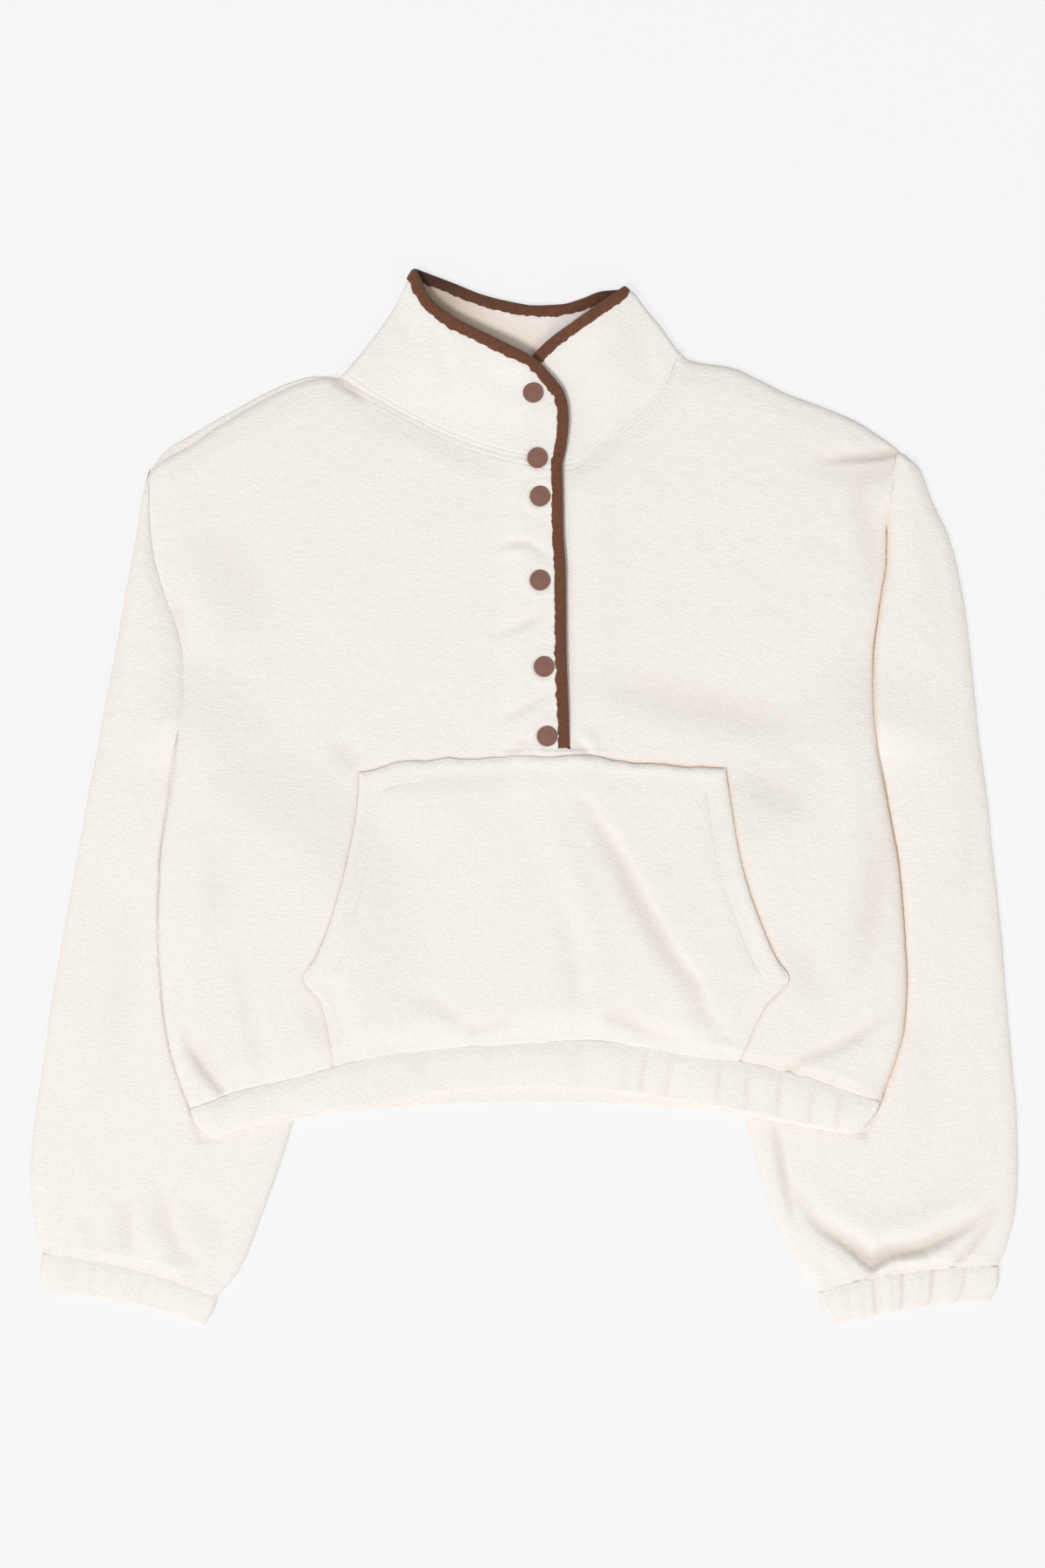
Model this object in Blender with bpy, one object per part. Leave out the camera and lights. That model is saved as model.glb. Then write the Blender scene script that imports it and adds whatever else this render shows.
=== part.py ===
"""A cropped sherpa fleece pullover with a half snap placket, laid flat on its back.

All lengths below are millimetres. +X is the wearer's left, +Y runs to the neck and +Z is
away from the surface it lies on, so the front faces up. Each piece that a maker cuts is a
wall of even thickness round a grid of points that runs through the middle of its cloth.
"""

import math

import bmesh
import bpy
from mathutils import Vector

MM = 0.001

# ------------------------------------------------------------------ driving dimensions
WALL = 3.0  # fleece with its pile pressed
SEAM = 0.3  # room between two pieces that are sewn edge to edge
STACK = 0.4  # room between two layers that lie on each other
FOLD_GAP = 0.9  # room inside a tube at its side folds
BACK_MID = WALL / 2  # height of the back panel's middle
FRONT_MID = WALL * 1.5 + STACK  # height of the front panel's middle
TUBE_TOP = WALL * 1.5 + FOLD_GAP  # height of a flattened tube's upper middle
TUBE_END = WALL / 2 + (TUBE_TOP - BACK_MID) / 2  # how far a side fold reaches past its layers
LIFT = WALL * 2 + FOLD_GAP + 2 * SEAM  # the body's rise where it lies on a sleeve
LIFT_FLAT = 16.0  # how far past the sleeve the body keeps its rise
LIFT_RAMP = 70.0  # length of the slope back down to the surface
BODY_PUFF = 1.3  # loft between back and front
SLEEVE_PUFF = 2.7  # loft inside a sleeve where nothing lies on it
PUFF_RAMP = 30.0

TAPE = 0.8  # thickness of the binding
TAPE_LEG = 6.4  # depth of the binding on each face of the cloth
TAPE_MID = WALL / 2 + SEAM + TAPE / 2
TAPE_NOSE = 1.4  # from the cloth's edge to the middle of the binding's bend
TAPE_OUT = TAPE_NOSE + TAPE / 2
LAP_MID = FRONT_MID + WALL + STACK + SEAM + TAPE  # height of the overlap's middle
COLLAR_LAP_MID = LAP_MID + 1.0  # the same on the collar, over the other side's bound edge
LAP_WIDTH = 27.0  # flat part of the overlap, which carries the snaps
LAP_SLOPE = 26.0
SLIT = TAPE_OUT + 0.4  # from the overlap's cut edge to the other front's cut edge
SLIT_FOOT = 35.0  # height of the placket's lower end
FOOT_RISE = 2.6  # pucker of the front at the placket's foot
FOOT_SPREAD = 38.0

SNAP_RADIUS = 7.5
SNAP_HEIGHT = 1.9

# The body's side edges: height, wearer's right side, wearer's left side
SIDES = (
    ("y", "right", "left"),
    (-229, -244.5, 260.0),
    (-221, -248.0, 262.0),
    (-195, -257.0, 271.5),
    (-170, -262.5, 278.0),
    (-138, -266.0, 280.0),
    (-106, -268.5, 278.5),
    (-55, -267.0, 274.5),
    (-4, -261.0, 265.5),
    (45, -254.0, 257.5),
    (74, -252.0, 256.0),
    (104, -253.0, 256.5),
    (122, -257.0, 258.5),
    (147, -264.0, 262.0),
    (174, -271.5, 266.0),
    (206, -275.0, 266.5),
    (236, -275.5, 271.5),
    (252, -276.0, 276.0),
)

# Column lines of the front between the sides: from the neck's ends down the pocket's sides
GUIDES = (
    ("y", "right", "left"),
    (-206, -138.0, 150.0),
    (-193, -140.0, 157.0),
    (-151, -149.0, 177.5),
    (-133, -162.0, 193.0),
    (-120, -153.5, 185.0),
    (-93, -142.5, 173.0),
    (-62, -133.5, 162.0),
    (-37, -128.0, 156.0),
    (-12, -123.5, 152.0),
    (19, -121.5, 147.5),
    (60, -123.0, 144.0),
    (150, -126.0, 133.0),
    (240, -130.0, 121.0),
    (322, -133.0, 113.5),
)

# Cut edge of the overlap
LAP_EDGE = (
    ("y", "x"),
    (20.0, 31.6),
    (35.0, 31.4),
    (115.0, 28.8),
    (168.0, 28.4),
    (192.0, 26.8),
    (222.0, 26.3),
    (246.0, 25.8),
)

# Upper edges, from the wearer's right shoulder to the left: x, height
FRONT_SHOULDER_RIGHT = (
    ("x", "y"),
    (-275.5, 236.5),
    (-270.5, 243.0),
    (-264.0, 247.5),
    (-245.5, 257.5),
    (-223.5, 272.0),
    (-209.0, 281.0),
    (-179.5, 297.5),
    (-157.0, 306.0),
    (-146.0, 307.5),
    (-133.0, 305.5),
)
BACK_SHOULDER_RIGHT = (
    ("x", "y"),
    (-275.5, 239.0),
    (-264.0, 253.5),
    (-245.5, 265.0),
    (-227.0, 276.0),
    (-209.0, 286.0),
    (-190.5, 296.0),
    (-172.0, 304.0),
    (-157.0, 308.0),
    (-146.0, 308.5),
    (-133.0, 306.5),
)
SHOULDER_LEFT = (
    ("x", "y"),
    (113.5, 322.0),
    (129.0, 318.0),
    (151.5, 314.5),
    (170.0, 306.5),
    (192.5, 295.5),
    (218.5, 286.0),
    (243.5, 275.5),
    (257.0, 267.0),
    (272.5, 256.0),
    (276.0, 252.5),
)
FRONT_NECK = (
    ("x", "y"),
    (-133.0, 305.5),
    (-120.5, 297.5),
    (-107.0, 290.5),
    (-86.0, 279.0),
    (-50.0, 262.0),
    (-14.5, 250.5),
    (11.0, 245.0),
    (24.5, 243.0),
    (34.0, 243.5),
    (51.5, 255.5),
    (76.0, 274.0),
    (96.5, 290.5),
    (106.0, 303.5),
    (111.0, 316.0),
    (113.5, 322.0),
)
BACK_NECK = (
    ("x", "y"),
    (-133.0, 306.5),
    (-97.5, 299.0),
    (-46.5, 294.5),
    (-1.5, 294.0),
    (49.5, 297.0),
    (88.0, 306.5),
    (113.5, 322.0),
)

# The hem: seam with the panels, then the band's lower edges at the front and the back
HEM = (
    ("x", "seam", "front", "back"),
    (-246.0, -227.5, -249.5, -250.5),
    (-232.0, -222.5, -248.5, -250.5),
    (-211.0, -214.5, -241.0, -243.5),
    (-182.0, -208.0, -234.0, -238.0),
    (-155.0, -201.0, -230.5, -234.0),
    (-136.5, -195.5, -228.0, -231.0),
    (-99.0, -187.5, -222.5, -227.5),
    (-53.5, -182.5, -215.0, -225.0),
    (0.0, -180.0, -212.5, -224.5),
    (44.5, -177.5, -213.0, -224.5),
    (67.0, -179.0, -215.0, -225.0),
    (120.0, -187.5, -222.5, -228.0),
    (156.0, -192.0, -228.5, -231.5),
    (181.5, -197.0, -234.0, -236.0),
    (211.0, -204.5, -240.0, -241.5),
    (231.0, -211.5, -243.5, -245.0),
    (262.0, -222.5, -246.5, -247.5),
)
HEM_ENDS = (("t", "right", "left"), (0.0, -245.5, 261.0), (0.5, -243.0, 256.5), (1.0, -237.0, 250.0))

# The pocket's upper edge
POCKET_TOP = (
    ("x", "y"),
    (-280.0, 20.0),
    (-121.5, 19.0),
    (-85.0, 26.0),
    (-39.0, 28.0),
    (3.5, 30.0),
    (44.5, 29.5),
    (65.0, 26.0),
    (123.0, 22.0),
    (147.5, 20.5),
    (280.0, 20.0),
)
POCKET_ROWS = (0.0, 0.095, 0.19, 0.283, 0.39, 0.5, 0.6, 0.7, 0.8, 0.9, 1.0)
UPPER_ROWS = (0.0, 0.075, 0.16, 0.25, 0.345, 0.44, 0.54, 0.64, 0.74, 0.84, 0.93, 1.0)
FRONT_CELLS = (7, 5, 1, 1, 5, 7)  # side, neck end, overlap, cut edge, other cut edge, neck end, side
BACK_CELLS = (7, 5, 1, 5, 7)

# The front's largest folds: ends, height and half-width of each ridge or trough
FOLDS = (
    ("x0", "y0", "x1", "y1", "height", "half_width"),
    (54.0, 0.0, 158.0, -150.0, 1.9, 19.0),
    (38.0, -2.0, 140.0, -168.0, -1.6, 10.0),
    (10.0, 2.0, 62.0, -150.0, 1.3, 18.0),
    (-70.0, -148.0, -30.0, -172.0, -1.2, 12.0),
    (60.0, 78.0, 205.0, 48.0, -1.2, 14.0),
    (90.0, 108.0, 215.0, 80.0, 1.2, 20.0),
    (-228.0, -25.0, -222.0, -150.0, 1.5, 15.0),
    (-205.0, -138.0, -192.0, -190.0, 1.2, 12.0),
    (200.0, -20.0, 232.0, -160.0, 1.3, 18.0),
    (205.0, 245.0, 262.0, 250.0, -1.2, 9.0),
    (-232.0, 200.0, -190.0, 128.0, -1.0, 20.0),
)

# Sleeves: the outer fold from the shoulder (0) and the inner fold from the underarm (0), both
# to the cuff (18)
SLEEVE_RIGHT = (
    ("station", "outer_x", "outer_y", "inner_x", "inner_y"),
    (0, -277.5, 237.5, -257.0, 22.0),
    (1, -281.5, 220.5, -257.0, 10.0),
    (2, -284.5, 198.0, -243.5, -9.0),
    (3, -288.5, 175.5, -224.5, -24.0),
    (4, -293.0, 150.0, -201.5, -39.5),
    (5, -298.0, 123.0, -179.5, -57.0),
    (6, -303.0, 95.5, -163.5, -78.5),
    (7, -309.0, 65.5, -154.0, -104.0),
    (8, -314.0, 34.5, -149.5, -130.0),
    (9, -321.0, -0.5, -149.5, -154.0),
    (10, -328.0, -41.0, -153.5, -179.5),
    (11, -336.5, -87.0, -160.5, -207.0),
    (12, -345.5, -141.5, -169.5, -237.5),
    (13, -353.5, -192.5, -178.0, -265.0),
    (14, -360.0, -239.0, -186.0, -288.0),
    (15, -362.5, -275.5, -193.5, -309.0),
    (16, -361.5, -301.5, -201.5, -330.0),
    (17, -358.0, -322.5, -211.5, -350.0),
    (18, -354.5, -334.5, -224.5, -365.5),
)
SLEEVE_LEFT = (
    ("station", "outer_x", "outer_y", "inner_x", "inner_y"),
    (0, 278.0, 251.5, 260.0, 22.0),
    (1, 289.5, 241.5, 260.0, 11.5),
    (2, 300.5, 214.5, 248.0, -7.0),
    (3, 312.0, 189.5, 229.0, -23.0),
    (4, 319.0, 162.5, 206.5, -39.0),
    (5, 324.0, 134.0, 185.5, -55.0),
    (6, 327.5, 104.0, 168.5, -77.5),
    (7, 331.0, 68.0, 158.5, -103.0),
    (8, 335.0, 34.5, 153.5, -128.5),
    (9, 339.5, -0.5, 152.0, -154.0),
    (10, 344.5, -45.5, 153.5, -179.5),
    (11, 349.0, -93.5, 156.5, -205.5),
    (12, 353.5, -144.5, 161.0, -231.0),
    (13, 358.0, -195.5, 167.5, -258.5),
    (14, 361.5, -240.5, 174.0, -282.0),
    (15, 362.0, -275.5, 182.0, -306.0),
    (16, 359.5, -306.0, 191.5, -329.0),
    (17, 354.0, -329.0, 203.0, -349.5),
    (18, 348.5, -344.0, 214.5, -363.5),
)
SLEEVE_CELLS = 9
SLEEVE_CLOSED_ROWS = 17
UNDERARM_STATION = 9.0  # where the outer fold passes the underarm
SLEEVE_LAG = 1.35  # below the underarm the outer fold starts slower than the inner one
SLEEVE_TOP_RIGHT = (222.0, 1.15)  # height of a sleeve's first row, and its outer fold's station
SLEEVE_TOP_LEFT = (246.0, 0.7)
CUFF_BOW_RIGHT = 6.0  # how far the cuff's seam bows up from a straight line
CUFF_BOW_LEFT = 7.0

# Folds across the sleeves: ends, height and half-width
SLEEVE_FOLDS = (
    ("x0", "y0", "x1", "y1", "height", "half_width"),
    (203.0, -298.0, 255.0, -339.0, -2.0, 11.0),
    (255.0, -339.0, 342.0, -303.0, -2.0, 12.0),
    (218.0, -276.0, 340.0, -272.0, 0.9, 22.0),
    (316.0, -338.0, 345.0, -305.0, -1.2, 9.0),
    (-262.0, -331.0, -232.0, -349.0, -1.4, 10.0),
    (-288.0, -296.0, -288.0, -318.0, -1.3, 8.0),
    (-300.0, -200.0, -292.0, -300.0, 0.8, 24.0),
)

# Cuffs: seam row, then lower edge; each with its ends on the outer and the inner side
CUFF_RIGHT = (
    ("t", "outer_x", "outer_y", "inner_x", "inner_y", "bow"),
    (0.0, -354.5, -334.9, -224.5, -365.9, 6.0),
    (0.5, -356.0, -348.5, -228.5, -377.0, 6.0),
    (1.0, -352.5, -363.0, -234.5, -387.2, 5.0),
)
CUFF_LEFT = (
    ("t", "outer_x", "outer_y", "inner_x", "inner_y", "bow"),
    (0.0, 348.5, -344.4, 214.5, -363.9, 7.0),
    (0.5, 347.5, -357.5, 219.5, -376.5, 6.0),
    (1.0, 342.0, -369.3, 226.0, -387.2, 4.0),
)
# Gathers: place across the cuff from -X to +X, and height
GATHERS_RIGHT = (
    ("s", "height"),
    (0.14, 0.5),
    (0.3, -0.4),
    (0.46, 0.5),
    (0.6, -0.5),
    (0.72, 0.6),
    (0.88, -0.3),
)
GATHERS_LEFT = (
    ("s", "height"),
    (0.19, 0.7),
    (0.29, -0.7),
    (0.37, 0.8),
    (0.45, -0.8),
    (0.54, 0.9),
    (0.62, -0.8),
    (0.72, 0.9),
    (0.8, -0.6),
)
GATHER_WIDTH = 0.035
CUFF_UPPER_CELLS = 24
CUFF_LOWER_CELLS = 4
CUFF_LOFT = 0.9
HEM_LOFT = 0.6
TIGHT = 0.4  # how far a trough may close the room inside a band
HEM_GATHERS = (
    ("x", "height"),
    (-205.0, 0.7),
    (-170.0, -0.5),
    (-128.0, 0.6),
    (-75.0, -0.4),
    (-20.0, 0.5),
    (35.0, -0.4),
    (87.0, -0.9),
    (95.0, 0.9),
    (106.0, -0.8),
    (128.0, 0.8),
    (142.0, -0.9),
    (152.0, 0.9),
    (163.0, -0.8),
    (175.0, 0.8),
    (186.0, -0.8),
    (197.0, 0.8),
    (210.0, -0.7),
    (222.0, 0.7),
    (230.0, -0.7),
)
HEM_GATHER_WIDTH = 6.0

# The collar's edges. Upper edge of the overlap side, from the lap's corner to the right fold
COLLAR_LAP = (
    ("v", "x", "y"),
    (0.0, 25.8, 243.2),
    (0.18, 28.4, 254.0),
    (0.36, 29.9, 265.0),
    (0.54, 30.6, 275.0),
    (0.72, 30.2, 284.5),
    (0.88, 28.6, 292.0),
    (1.0, 26.5, 297.5),
)
COLLAR_TOP_RIGHT = (
    ("s", "x", "y", "z"),
    (0.0, -81.0, 383.3, 9.3),
    (0.14, -70.5, 364.4, 7.8),
    (0.27, -55.8, 351.4, 6.4),
    (0.4, -40.0, 342.8, 6.2),
    (0.53, -23.2, 334.6, 7.4),
    (0.65, -7.2, 326.6, 9.9),
    (0.77, 6.5, 319.4, COLLAR_LAP_MID),
    (0.9, 19.5, 306.4, COLLAR_LAP_MID),
    (1.0, 26.5, 297.5, COLLAR_LAP_MID),
)
COLLAR_TOP_BACK = (
    ("s", "x", "y"),
    (0.0, 70.5, 370.3),
    (0.12, 57.0, 369.2),
    (0.25, 43.0, 364.0),
    (0.38, 27.0, 359.6),
    (0.5, 8.0, 358.8),
    (0.63, -12.0, 361.8),
    (0.75, -31.0, 367.8),
    (0.87, -53.0, 377.6),
    (1.0, -81.0, 383.3),
)
COLLAR_TOP_LEFT = (
    ("s", "x", "y", "z"),
    (0.0, -3.0, 309.0, 5.2),
    (0.12, 6.2, 321.3, 5.8),
    (0.28, 19.2, 334.1, 6.8),
    (0.48, 35.9, 345.8, 7.4),
    (0.75, 55.0, 359.3, 8.2),
    (1.0, 70.5, 370.3, 9.3),
)
COLLAR_BOW = 4.0  # how far the collar's side folds bow in
COLLAR_ROWS = (0.0, 0.18, 0.36, 0.54, 0.72, 0.88, 1.0)
COLLAR_UNDERLAP = 0.6  # the hidden end of the collar's left side
COLLAR_PUFF = 1.6  # loft of the collar between its seam and its upper edge
TAPE_STOP = 2  # the binding starts at this column of the collar's left side

SNAP_SIDES = 16
SNAPS = (
    ("x", "y", "seat"),
    (6.1, 295.5, COLLAR_LAP_MID),
    (9.3, 247.8, LAP_MID),
    (11.2, 219.7, LAP_MID),
    (11.2, 158.2, LAP_MID),
    (14.1, 94.9, LAP_MID),
    (16.4, 44.0, LAP_MID),
)


# ------------------------------------------------------------------ curves and heights
def smooth(table, across, along):
    """The curve of one column over another, with no overshoot between its rows."""
    names = table[0]
    xs = [row[names.index(across)] for row in table[1:]]
    ys = [row[names.index(along)] for row in table[1:]]
    slopes = [(ys[k + 1] - ys[k]) / (xs[k + 1] - xs[k]) for k in range(len(xs) - 1)]
    tangents = [slopes[0]]
    for before, after in zip(slopes, slopes[1:]):
        tangents.append(2 * before * after / (before + after) if before * after > 0 else 0.0)
    tangents.append(slopes[-1])

    def at(x):
        x = min(max(x, xs[0]), xs[-1])
        k = 0
        while k < len(slopes) - 1 and x > xs[k + 1]:
            k += 1
        step = xs[k + 1] - xs[k]
        t = (x - xs[k]) / step
        return (
            ys[k] * (1 + 2 * t) * (1 - t) ** 2
            + tangents[k] * step * t * (1 - t) ** 2
            + ys[k + 1] * t * t * (3 - 2 * t)
            + tangents[k + 1] * step * t * t * (t - 1)
        )

    return at


def ease(t):
    """0 below 0, 1 above 1, and a soft slope between."""
    t = min(max(t, 0.0), 1.0)
    return t * t * (3 - 2 * t)


def mix(a, b, t):
    return a + (b - a) * t


def to_segment(x, y, a, b):
    """Distance from a point to a segment, and the place of the nearest point along it."""
    dx = b[0] - a[0]
    dy = b[1] - a[1]
    t = ((x - a[0]) * dx + (y - a[1]) * dy) / (dx * dx + dy * dy)
    t = min(max(t, 0.0), 1.0)
    return math.hypot(x - a[0] - t * dx, y - a[1] - t * dy), t


def fold_height(folds, x, y):
    """Height that a table of ridges and troughs adds at a point; each fades at its ends."""
    total = 0.0
    for x0, y0, x1, y1, height, half_width in folds[1:]:
        distance, t = to_segment(x, y, (x0, y0), (x1, y1))
        fade = 0.35 + 0.65 * math.sin(math.pi * t)
        total += height * fade * math.exp(-((distance / half_width) ** 2))
    return total


side_right = smooth(SIDES, "y", "right")
side_left = smooth(SIDES, "y", "left")
guide_right = smooth(GUIDES, "y", "right")
guide_left = smooth(GUIDES, "y", "left")
lap_edge = smooth(LAP_EDGE, "y", "x")
shoulder_front = smooth(FRONT_SHOULDER_RIGHT, "x", "y")
shoulder_back = smooth(BACK_SHOULDER_RIGHT, "x", "y")
shoulder_left = smooth(SHOULDER_LEFT, "x", "y")
neck_front = smooth(FRONT_NECK, "x", "y")
neck_back = smooth(BACK_NECK, "x", "y")
hem_seam = smooth(HEM, "x", "seam")
hem_front = smooth(HEM, "x", "front")
hem_back = smooth(HEM, "x", "back")
hem_right = smooth(HEM_ENDS, "t", "right")
hem_left = smooth(HEM_ENDS, "t", "left")
pocket_top = smooth(POCKET_TOP, "x", "y")


def top_of(shoulder, neck):
    """Height of a panel's upper edge: shoulder, neck, shoulder."""

    def at(x):
        if x < FRONT_NECK[1][0]:
            return shoulder(x)
        if x > SHOULDER_LEFT[1][0]:
            return shoulder_left(x)
        return neck(x)

    return at


front_top = top_of(shoulder_front, neck_front)
back_top = top_of(shoulder_back, neck_back)


class Sleeve:
    """Plan of a flattened sleeve, as pairs of points on its outer and its inner side."""

    def __init__(self, table, side, bow, top):
        self.outer_x, self.outer_y, self.inner_x, self.inner_y = (
            smooth(table, "station", name) for name in table[0][1:]
        )
        self.last = table[-1][0]
        self.side = side
        self.is_right = side is side_right
        self.bow = bow
        self.top, self.top_station = top

    def closed(self, t):
        """A section below the underarm, where t is 0, and at or above the cuff, where t is 1."""
        outer_at = mix(UNDERARM_STATION, self.last, t**SLEEVE_LAG)
        inner_at = t * self.last
        outer = Vector((self.outer_x(outer_at), self.outer_y(outer_at)))
        return outer, Vector((self.inner_x(inner_at), self.inner_y(inner_at)))

    def opened(self, edge):
        """A section beside the body; edge is its point on the armhole's seam."""
        share = (self.top - edge.y) / (self.top - self.inner_y(0.0))
        outer_at = mix(self.top_station, UNDERARM_STATION, share)
        away = -SEAM if self.is_right else SEAM
        outer = Vector((self.outer_x(outer_at), self.outer_y(outer_at)))
        return outer, Vector((edge.x + away * 1.1, edge.y))

    def armhole(self, panel_rows):
        """Points of a panel's side above the underarm, from the lowest to the sleeve's top."""
        column = 0 if self.is_right else -1
        side = [Vector(row[column]).xy for row in panel_rows[len(POCKET_ROWS) + 1 :]]
        below = [point for point in side if point.y < self.top - 4]
        after = side[len(below)]
        share = (self.top - below[-1].y) / (after.y - below[-1].y)
        return below + [below[-1].lerp(after, share)]


sleeve_right = Sleeve(SLEEVE_RIGHT, side_right, CUFF_BOW_RIGHT, SLEEVE_TOP_RIGHT)
sleeve_left = Sleeve(SLEEVE_LEFT, side_left, CUFF_BOW_LEFT, SLEEVE_TOP_LEFT)


def body_outline(step=10):
    """The body's outline, with its hem band, from the hem's right end and round the neck."""
    right_hem = [(hem_right(t), mix(HEM[1][1], HEM[1][3], t)) for t in (1.0, 0.5, 0.0)]
    left_hem = [(hem_left(t), mix(HEM[-1][1], HEM[-1][3], t)) for t in (0.0, 0.5, 1.0)]
    right_side = [(side_right(y), y) for y in range(-220, 240, step)]
    upper_edge = [(x, back_top(x)) for x in range(-275, 276, step)]
    left_side = [(side_left(y), y) for y in range(250, -221, -step)]
    lower_edge = [(x, hem_back(x)) for x in range(240, -233, -step)]
    return right_hem + right_side + upper_edge + left_side + left_hem + lower_edge


SECTION_COUNT = 60
SECTIONS = [
    sleeve.closed(number / (SECTION_COUNT - 1))
    for sleeve in (sleeve_right, sleeve_left)
    for number in range(SECTION_COUNT)
]
BODY_OUTLINE = body_outline()


def lift(x, y):
    """Rise of the body over the sleeves that lie under it."""
    if y > sleeve_right.inner_y(0.0) + LIFT_FLAT + LIFT_RAMP:
        return 0.0
    distance = min(to_segment(x, y, a, b)[0] for a, b in SECTIONS)
    return LIFT * (1 - ease((distance - LIFT_FLAT) / LIFT_RAMP))


def beyond_body(x, y):
    """Distance from the body's outline, 0 inside it."""
    inside = False
    nearest = math.inf
    for a, b in zip(BODY_OUTLINE, BODY_OUTLINE[1:] + BODY_OUTLINE[:1]):
        if (a[1] > y) != (b[1] > y) and x < a[0] + (y - a[1]) * (b[0] - a[0]) / (b[1] - a[1]):
            inside = not inside
        nearest = min(nearest, to_segment(x, y, a, b)[0])
    return 0.0 if inside else nearest


def lap_rise(x, y):
    """Rise of the overlap over the placket's under strip, and of the pucker at its foot."""
    edge = lap_edge(y)
    near_side = ease((x - edge + LAP_WIDTH + LAP_SLOPE) / LAP_SLOPE)
    far_side = 1 - ease((x - edge) / FOOT_SPREAD)
    if y < SLIT_FOOT - 1:
        return (FOOT_RISE + 0.6) * near_side * far_side * ease((y + 12) / (SLIT_FOOT + 12))
    if x <= edge + 0.01:
        return (LAP_MID - FRONT_MID) * near_side
    return FOOT_RISE * far_side * (1 - ease((y - SLIT_FOOT) / FOOT_SPREAD))


def front_height(x, y):
    """Height of the front panel's middle."""
    edge = lap_edge(y)
    loft = ease((x - side_right(y)) / PUFF_RAMP) * ease((side_left(y) - x) / PUFF_RAMP)
    loft *= ease((y - hem_seam(x)) / PUFF_RAMP) * ease((front_top(x) - y) / PUFF_RAMP)
    if y > SLIT_FOOT - 1 and x > edge - LAP_WIDTH - 1:
        loft *= ease((x - edge - SLIT) / PUFF_RAMP)
    elif y > SLIT_FOOT - 1:
        loft *= ease((edge - LAP_WIDTH - x) / PUFF_RAMP)
    soft = loft * max(BODY_PUFF + fold_height(FOLDS, x, y), 0.0)
    return lift(x, y) + FRONT_MID + soft + lap_rise(x, y)


# ------------------------------------------------------------------ making cloth
def material(name, colour, roughness):
    made = bpy.data.materials.new(name)
    made.use_nodes = True
    shader = made.node_tree.nodes["Principled BSDF"]
    shader.inputs["Base Color"].default_value = (*colour, 1.0)
    shader.inputs["Roughness"].default_value = roughness
    shader.inputs["Metallic"].default_value = 0.0
    return made


def sheet(rows, ring=False, left_out=(), flipped=()):
    """A triangulated sheet through a grid of points; ring closes each row on itself."""
    mesh = bmesh.new()
    grid = [[mesh.verts.new(Vector(point)) for point in row] for row in rows]
    for i in range(len(rows) - 1):
        for j in range(len(rows[0]) - (0 if ring else 1)):
            if (i, j) in left_out:
                continue
            k = (j + 1) % len(rows[0])
            low, high = grid[i], grid[i + 1]
            if (i, j) in flipped:
                mesh.faces.new((low[j], low[k], high[j]))
                mesh.faces.new((low[k], high[k], high[j]))
            else:
                mesh.faces.new((low[j], low[k], high[k]))
                mesh.faces.new((low[j], high[k], high[j]))
    for vert in [vert for vert in mesh.verts if not vert.link_faces]:
        mesh.verts.remove(vert)
    mesh.normal_update()
    return mesh, grid


def upright(vert, normal):
    """Normal at a cut edge, turned so that the edge's rim stands square to the seam."""
    cut = [edge for edge in vert.link_edges if edge.is_boundary]
    along = Vector()
    for edge in cut:
        way = edge.other_vert(vert).co - vert.co
        along = way.normalized() - along if edge is cut[0] else along - way.normalized()
    along.z = 0.0
    if along.length < 0.2:
        along = cut[0].other_vert(vert).co - vert.co
        along.z = 0.0
    square = Vector((-along.y, along.x, 0.0)).normalized()
    return (normal - square * normal.dot(square)).normalized()


def add_object(name, mesh, surface):
    data = bpy.data.meshes.new(name)
    mesh.to_mesh(data)
    mesh.free()
    made = bpy.data.objects.new(name, data)
    made.data.materials.append(surface)
    bpy.context.scene.collection.objects.link(made)
    return made


def cloth(name, mesh, surface, thickness=WALL):
    """Gives a sheet its thickness, half to each side, and closes its cut edges."""
    verts = list(mesh.verts)
    faces = list(mesh.faces)
    rims = [edge for edge in mesh.edges if edge.is_boundary]
    solid = bmesh.new()
    sides = []
    for away in (thickness / 2, -thickness / 2):
        copies = {}
        for vert in verts:
            normal = upright(vert, vert.normal) if vert.is_boundary else vert.normal
            copies[vert] = solid.verts.new((vert.co + normal * away) * MM)
        sides.append(copies)
    outer, inner = sides
    for face in faces:
        solid.faces.new([outer[vert] for vert in face.verts])
        solid.faces.new([inner[vert] for vert in reversed(face.verts)])
    for edge in rims:
        loop = edge.link_loops[0]
        first, last = loop.vert, loop.link_loop_next.vert
        solid.faces.new((outer[first], inner[first], inner[last]))
        solid.faces.new((outer[first], inner[last], outer[last]))
    mesh.free()
    return add_object(name, solid, surface)


def across(along):
    """Level direction square to another, to its left."""
    return Vector((-along.y, along.x, 0.0)).normalized()


TURN_CELLS = 4


def turn(start, end, outward):
    """Three points round a side fold, from one layer's end to the other's."""
    start, end = Vector(start), Vector(end)
    half = (end - start) / 2
    points = []
    for degrees in (-45, 0, 45):
        angle = math.radians(degrees)
        points.append(start + half + outward * abs(half.z) * math.cos(angle) + half * math.sin(angle))
    return points


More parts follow.
